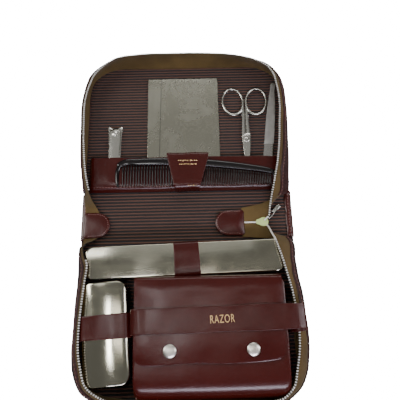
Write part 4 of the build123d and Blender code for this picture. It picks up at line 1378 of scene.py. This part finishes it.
mouthX0, mouthX1, mouthY0, mouthY1 = pouch["mouth"]
mouth = pouchLoop(mouthY0, mouthY1, mouthX0, mouthX1, 4.0)
outer = [pouchRing(h, near, 0.0, 0.9 * math.sin(h / 30.8 * 2.6)) for h, near in pouch["levels"]]
inner = [pouchRing(max(h, pouch["wall"]), near, pouch["wall"], 0.9 * math.sin(h / 30.8 * 2.6))
         for h, near in pouch["levels"][:-1]]
rings = [shrink(outer[0], f) for f in (0.0, 0.4, 0.8, 0.97)] + outer
last = outer[-1]
for f in (0.25, 0.55, 0.85, 0.97):
    flat = last[:, :2] + (mouth - last[:, :2]) * f
    rings.append(np.concatenate([flat, np.full((len(flat), 1), pouch["top"] + 0.2 * math.sin(f * 3))],
                                1))
topRim = np.concatenate([mouth, np.full((len(mouth), 1), pouch["top"])], 1)
rings += [topRim + np.array([0, 0, -0.4]), topRim + np.array([0, 0, -1.6])]
wide = np.concatenate([inner[-1][:, :2], np.full((len(mouth), 1), pouch["top"] - pouch["wall"])], 1)
rings += [topRim * 0.5 + wide * 0.5 - np.array([0, 0, 0.6]), wide - np.array([0, 0, 0.8])] + inner[::-1]
rings += [shrink(inner[0], f, pouch["bottom"] + pouch["wall"]) for f in (0.96, 0.8, 0.4, 0.0)]
body = addGrid("pouchBody", np.stack(rings), pouchLeather, closedColumns=True)
finer = body.modifiers.new("softer", "SUBSURF")
finer.levels = finer.render_levels = 1
keep(finished(body), "pouch", "gloss_leather", "pouch_body")
for name, side, x in (("Left", -1, pouch["left"]), ("Right", 1, pouch["right"])):
    h = np.linspace(3, 27, 60)
    levels = np.array(pouch["levels"])
    near = np.interp(h, levels[:, 0], levels[:, 1])
    line = np.stack([0 * h + x - side * 3.2, near - 0.25, h + pouch["bottom"]], 1)
    seam = stitches(f"pouchStitches{name}", line, 0.0, redThread, 2.0, 1.2, 0.24,
                    np.array([0, -1.0, 0]))
    keep(seam, "pouch", "gloss_leather")

flap = {
    "path": [(-68.9, 20.0), (-68.6, 28.0), (-68.9, 33.6), (-70.6, 37.0), (-75.0, 38.0), (-90.0, 37.9),
             (-112.0, 37.4), (-132.0, 37.3), (-146.6, 36.6)],
    "left": -49.4, "right": 88.2, "corner": 11.0, "thickness": 1.7, "slant": 0.9,
}
path = evenCurve(flap["path"], 80)
u = np.sin(np.linspace(-1, 1, 60) * np.pi / 2)
toEnd = flap["corner"] - np.clip(path[:, 0] - path[:, 0].min(), 0, flap["corner"])
draw = flap["corner"] - np.sqrt(np.clip(flap["corner"] ** 2 - toEnd**2, 0, None))
draw[path[:, 1] < 36.3 + 0 * draw] *= (path[path[:, 1] < 36.3, 0] < -100)
middle, halfSpan = (flap["left"] + flap["right"]) / 2, (flap["right"] - flap["left"]) / 2
x = middle + u[None, :] * (halfSpan - draw)[:, None]
y = path[:, 0][:, None] + 0 * x
nearness = np.clip((-90 - y) / 57, 0, 1)
y = y + nearness * (flap["slant"] * u[None, :] * 1.0 + 0.7 * np.cos(x * 0.07))
flat = np.clip((path[:, 1][:, None] - 34) / 3, 0, 1)
z = (path[:, 1][:, None] + 0.3 * np.sin(x * 0.12 + 0.7) * np.cos(y * 0.1) * flat
     + 0.45 * np.sin(x * 0.06 + 0.5) * nearness
     - 0.8 * np.abs(u[None, :]) ** 8 * (path[:, 1][:, None] > 36.0))
cloth = addSheet("pouchFlap", np.stack([x, y, z], -1), flap["thickness"], pouchLeather, rawEdge)
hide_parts("pouch_flap")
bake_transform(cloth)

snap = {"places": [(-16.5, -135.5), (58.5, -135.5)], "radius": 6.6, "z": 37.9}
for k, (x, y) in enumerate(snap["places"]):
    side = ("Left", "Right")[k]
    loop = np.stack([x + np.cos(np.linspace(0, 2 * np.pi, 48, endpoint=False)),
                     y + np.sin(np.linspace(0, 2 * np.pi, 48, endpoint=False))], 1)
    z = snap["z"]
    cap = [(0.0, 0.0, z), (0.0, 5.5, z), (0.0, 6.0, z + 0.2), (0.0, 6.1, z + 0.6)]
    cap += [(0.0, 6.0 * math.cos(a), z + 0.9 + 1.35 * math.sin(a))
            for a in np.linspace(0.1, np.pi / 2, 11)]
    keep(addGrid(f"snapCap{side}", ringPoints(loop, cap), studSteel, closedColumns=True), "pouch_flap",
         "plated_steel", "snap_caps")
    z = 36.2
    socket = [(0.0, 0.0, z + 0.6), (0.0, 5.0, z + 0.6), (0.0, 5.0, z - 0.6), (0.0, 4.6, z - 1.1),
              (0.0, 3.4, z - 1.2), (0.0, 2.5, z - 0.9), (0.0, 2.3, z - 0.2), (0.0, 0.0, z - 0.2)]
    keep(addGrid(f"snapSocket{side}", ringPoints(loop, socket), studSteel, closedColumns=True),
         "pouch_flap", "plated_steel", "snap_sockets")
    z = 34.2
    stud = [(0.0, 0.0, z - 0.4), (0.0, 4.5, z - 0.4), (0.0, 4.6, z + 0.3), (0.0, 3.8, z + 0.6),
            (0.0, 2.1, z + 0.6), (0.0, 1.8, z + 0.9), (0.0, 2.05, z + 1.4), (0.0, 1.6, z + 1.65),
            (0.0, 0.0, z + 1.7)]
    keep(addGrid(f"snapStud{side}", ringPoints(loop, stud), studSteel, closedColumns=True), "pouch",
         "plated_steel", "snap_studs")
print("pouch made")


# mirror: a thin plate with rounded rims

mirror = {"box": (-42.6, 37.4, 32.0, 164.8), "levels": (3.5, 4.9), "corner": 1.2}
loop = roundedBox(*mirror["box"], mirror["corner"], 6, 14)
plate = ringPoints(loop, plateRings(*mirror["levels"], 0.45, 5, 0.12,
                                    (0.0, 0.35, 0.65, 0.9, 0.958, 0.966, 0.98, 0.992)))
# its far rim is worn down to a slope on top
plate[..., 2] -= 0.07 * np.clip(plate[..., 1] - 161.8, 0, 3) * (plate[..., 2] > 4.3)
keep(addGrid("mirrorPlate", plate, mirrorSteel, closedColumns=True), "mirror", "mirror_steel", "mirror")


# comb: a bowed back with two thick end teeth, coarse teeth on its left half and fine ones on its right

comb = {
    "left": -75.0, "right": 96.0, "z": 11.2, "middle": 8.0, "coarse": 2.9, "fine": 1.8,
    "back": [(-74.0, 56.5), (-68.0, 60.6), (-52.0, 61.6), (-20.0, 61.5), (10.0, 60.0), (40.0, 57.0),
             (70.0, 52.6), (88.0, 49.2), (95.0, 47.0)],
}


def combBack(x):
    # y of the comb's back, by straight steps between its controls
    back = np.array(comb["back"])
    return np.interp(x, back[:, 0], back[:, 1])


def combTip(x):
    # y of the tips of the teeth, on a slant
    return 30.2 - 2.2 * (x - comb["left"]) / (comb["right"] - comb["left"])


line = evenCurve([(x, y - 2.9, comb["z"]) for x, y in comb["back"]], 110)
share = np.linspace(0, 1, 110)
taper = np.clip(np.sin(np.clip(share, 0.0, 1.0) * np.pi), 0, 1) ** 0.16
wide = (4.6 - 0.9 * share) * taper + 0.02
deep = (1.75 - 0.45 * share) * taper + 0.02
back = addGrid("combBack", tubeAlong(line, wide, deep, 16, power=0.8), blackHorn, closedColumns=True,
               caps=True)
keep(back, "comb", "black_plastic", "comb")
guards = []
for name, x, bend in (("Left", comb["left"] + 2.4, -1.4), ("Right", comb["right"] - 2.2, 1.0)):
    top = combBack(x) - 2.4
    low = combTip(x)
    path = evenCurve([(x + 2.2 * (1 if bend < 0 else -1), top + 0.8, comb["z"]),
                      (x + bend * 0.2, top - 4.5, comb["z"]),
                      (x + bend * 0.8, (top + low) / 2, comb["z"]),
                      (x + bend * 0.4, low + 4.0, comb["z"]), (x - bend * 0.3, low, comb["z"])], 30)
    grow = np.interp(np.linspace(0, 1, 30), [0, 0.2, 0.75, 0.96, 1], [1.0, 1.0, 0.85, 0.55, 0.05])
    guards.append(addGrid(f"combGuard{name}", tubeAlong(path, 2.1 * grow, 1.5 * grow, 12), blackHorn,
                          closedColumns=True, caps=True))
for guard in guards:
    keep(guard, "comb", "black_plastic")


def addTeeth(name, x, half, depth):
    # each tooth tapers from the back to a blunt tip: 5 levels of 6 corners
    top, low = combBack(x) - 5.6, combTip(x)
    levels = np.array([0.0, 0.3, 0.7, 0.94, 1.0])
    size = np.array([1.0, 0.92, 0.7, 0.45, 0.16])
    ring = np.array([(1, 0.5), (0, 1), (-1, 0.5), (-1, -0.5), (0, -1), (1, -0.5)])
    y = top[:, None] + (low - top)[:, None] * levels
    points = np.zeros((len(x), 5, 6, 3))
    points[..., 0] = x[:, None, None] + ring[None, None, :, 0] * half * size[None, :, None]
    points[..., 1] = y[..., None]
    points[..., 2] = comb["z"] + ring[None, None, :, 1] * depth * size[None, :, None]
    faces = gridFaces(5, 6, False, True)[0]
    one = faces.tolist() + [[5, 4, 3, 2, 1, 0], [24, 25, 26, 27, 28, 29]]
    step = 30 * np.arange(len(x))
    every = [row for f in one for row in (np.array(f)[None] + step[:, None]).tolist()]
    keep(addMesh(name, points.reshape(-1, 3), every, blackHorn), "comb", "black_plastic")


addTeeth("combCoarseTeeth", np.arange(comb["left"] + 7.4, comb["middle"], comb["coarse"]), 0.78, 1.25)
addTeeth("combFineTeeth", np.arange(comb["middle"] + 0.6, comb["right"] - 5.6, comb["fine"]), 0.5, 1.15)
print("comb and mirror made")


# scissors: two halves, each a wire ring that runs into a shank, a joint and a blade

scissors = {"pivot": (66.8, 84.0), "low": 5.3, "split": 6.6, "high": 7.9, "ring": (13.2, 47.8),
            "size": (11.4, 16.3), "wire": 1.22}


def addScissorHalf(side, body, name, node):
    # side is 1 for the right half and -1 for the left one
    px, py = scissors["pivot"]
    middle = (scissors["low"] + scissors["high"]) / 2
    angle = np.linspace(0, 2 * np.pi, 72, endpoint=False)
    cx, cy = side * scissors["ring"][0], scissors["ring"][1]
    # the ring leans outwards at its top, and its wire is thinnest there
    x = cx + scissors["size"][0] * np.sin(angle) + side * 0.9 * np.cos(angle)
    y = cy + scissors["size"][1] * np.cos(angle)
    path = np.stack([px + x, py + y, np.full(72, middle)], 1)
    wrapped = np.concatenate([path[-2:], path, path[:2]])
    wire = scissors["wire"] * (1 - 0.18 * np.cos(angle))
    wire = np.concatenate([wire[-2:], wire, wire[:2]])
    tube = tubeAlong(wrapped, wire, wire * 0.9, 12)[2:-2]
    ring = addGrid(f"{name}Ring", tube, toolSteel, closedRows=True, closedColumns=True)
    # shank: oval, straight down from the ring's inner side to the joint
    line = evenCurve([(side * 2.0, 47.0), (side * 1.9, 41.0), (side * 1.9, 33.0), (side * 2.1, 24.0),
                      (side * 2.4, 14.0), (side * 2.5, 5.0)], 70)
    line = np.concatenate([line + np.array([px, py]), np.full((70, 1), middle)], 1)
    share = np.linspace(0, 1, 70)
    wide = np.interp(share, [0, 0.1, 0.3, 0.6, 1], [0.4, 1.15, 1.6, 2.0, 2.4])
    deep = np.interp(share, [0, 0.1, 0.3, 1], [0.4, 1.1, 1.3, 1.3])
    shank = addGrid(f"{name}Shank", tubeAlong(line, wide, deep, 14, power=0.8), toolSteel,
                    closedColumns=True, caps=True)
    # joint and blade lie in one half of the thickness each
    low, high = ((scissors["split"] + 0.06, scissors["high"]) if side > 0
                 else (scissors["low"], scissors["split"] - 0.06))
    shape = [(side * 4.3, 7.6), (side * 4.5, 2.0), (side * 4.3, -4.0), (side * 2.8, -20.0),
             (side * 0.9, -49.5), (-side * 0.4, -49.0),
             (-side * 2.6, -24.0), (-side * 4.3, -3.0), (-side * 4.5, 2.6), (-side * 3.0, 5.6),
             (-side * 0.9, 7.6), (side * 1.8, 8.2)]
    loop = evenLoop([(px + a, py + b) for a, b in shape], 90)
    loop = loop if side < 0 else loop[::-1]
    blade = addGrid(f"{name}Blade", ringPoints(loop, plateRings(low, high, 0.35, 3,
                                                                fills=(0.0, 0.5, 0.85))), toolSteel,
                    closedColumns=True)
    for k, part in enumerate((ring, shank, blade)):
        keep(part, body, "tool_steel", *((node,) if k == 0 else ()))


addScissorHalf(1, "scissors", "scissorsRight", "scissors_right")
addScissorHalf(-1, "scissors_left", "scissorsLeft", "scissors_left")
circle = np.linspace(0, 2 * np.pi, 40, endpoint=False)
loop = np.stack([scissors["pivot"][0] + np.cos(circle), scissors["pivot"][1] + np.sin(circle)], 1)
screw = [(0, 0.0, 5.2), (0, 1.9, 5.2), (0, 2.0, 5.4), (0, 2.0, 7.8), (0, 3.1, 7.95), (0, 3.15, 8.3),
         (0, 2.8, 8.6), (0, 1.6, 8.75), (0, 0.0, 8.8)]
keep(addGrid("scissorsScrew", ringPoints(loop, screw), toolSteel, closedColumns=True), "scissors",
     "tool_steel", "scissors_screw")


# nail file: a tapered blade with bevelled rims

nailFile = {"shape": [(-4.3, 0), (4.3, 0), (5.3, 24), (5.3, 46), (4.6, 84), (2.6, 112), (0.5, 124),
                      (-0.6, 124), (-3.0, 112), (-4.9, 84), (-5.3, 46), (-5.3, 24)],
            "start": (85.8, 34.0), "turn": -7.3, "levels": (3.5, 4.9)}
loop = evenLoop(nailFile["shape"], 120)
plate = (ringPoints(loop, plateRings(*nailFile["levels"], 0.4, 4, 0.1))
         + np.array([*nailFile["start"], 0]))
keep(addGrid("nailFile", turned(plate, nailFile["start"], nailFile["turn"]), fileSteel,
             closedColumns=True), "nail_file", "file_steel", "nail_file")


# nail clipper: two sprung leaves with curved jaws, a pin through both, and the lever folded on top

clipper = {"x": -78.2, "pinY": 94.2, "levels": {"Lower": (3.5, 4.7), "Upper": (5.1, 6.3)}}
leafShape = [(-6.0, -50.0), (0, -51.2), (6.0, -50.0), (6.5, -30.0), (7.0, -6.0), (7.6, 4.0), (8.0, 8.6),
             (6.8, 9.4), (3.8, 7.6), (0, 7.0), (-3.8, 7.6), (-6.8, 9.4), (-8.0, 8.6), (-7.6, 4.0),
             (-7.0, -6.0), (-6.5, -30.0)]
loop = evenLoop([(clipper["x"] + a, clipper["pinY"] + b) for a, b in leafShape], 110)
for name, (low, high) in clipper["levels"].items():
    rings = ringPoints(loop, plateRings(low, high, 0.3, 3, fills=(0.0, 0.4, 0.7, 0.92)))
    # the leaves close on each other at the jaws
    y = np.clip((rings[..., 1] - clipper["pinY"] - 1.5) / 8.0, 0, 1) ** 2
    rings[..., 2] += y * (-0.35 if name == "Upper" else 0.25)
    keep(addGrid(f"clipper{name}Leaf", rings, toolSteel, closedColumns=True), "clipper", "tool_steel",
         f"clipper_{name.lower()}_leaf")
leverShape = [(-4.7, 4.6), (0, 5.8), (4.7, 4.6), (5.7, -1.0), (5.5, -12.0), (4.4, -30.0), (3.2, -41.0),
              (0, -43.4), (-3.2, -41.0), (-4.4, -30.0), (-5.5, -12.0), (-5.7, -1.0)]
loop = evenLoop([(clipper["x"] + a, clipper["pinY"] + b) for a, b in leverShape], 90)
rings = ringPoints(loop, plateRings(6.8, 7.8, 0.35, 4, fills=(0.0, 0.3, 0.55, 0.75, 0.92)))
x = (rings[..., 0] - clipper["x"]) / 5.7
rings[..., 2] += 0.55 * np.clip(1 - x**2, 0, 1) * (np.arange(len(rings)) > 7)[:, None]
keep(addGrid("clipperLever", rings, toolSteel, closedColumns=True), "clipper_lever", "tool_steel",
     "clipper_lever")


def addRivet(name, x, y, rings, node):
    # a turned piece: rings of (inset, radius, z) about a vertical line
    loop = np.stack([x + np.cos(circle), y + np.sin(circle)], 1)
    keep(addGrid(name, ringPoints(loop, rings), toolSteel, closedColumns=True), "clipper", "tool_steel",
         node)


addRivet("clipperPin", clipper["x"], clipper["pinY"],
         [(0, 0.0, 3.5), (0, 1.4, 3.5), (0, 1.5, 3.7), (0, 1.5, 8.3), (0, 2.9, 8.4), (0, 3.1, 8.8),
          (0, 2.8, 9.2), (0, 2.2, 9.1), (0, 1.9, 9.3), (0, 1.0, 9.6), (0, 0.0, 9.65)], "clipper_pin")
addRivet("clipperRivet", clipper["x"], 48.0, [(0, 0.0, 3.4), (0, 1.5, 3.4), (0, 1.5, 6.3),
                                              (0, 2.0, 6.35), (0, 1.6, 6.6), (0, 0.0, 6.7)],
         "clipper_rivet")
print("tools made")
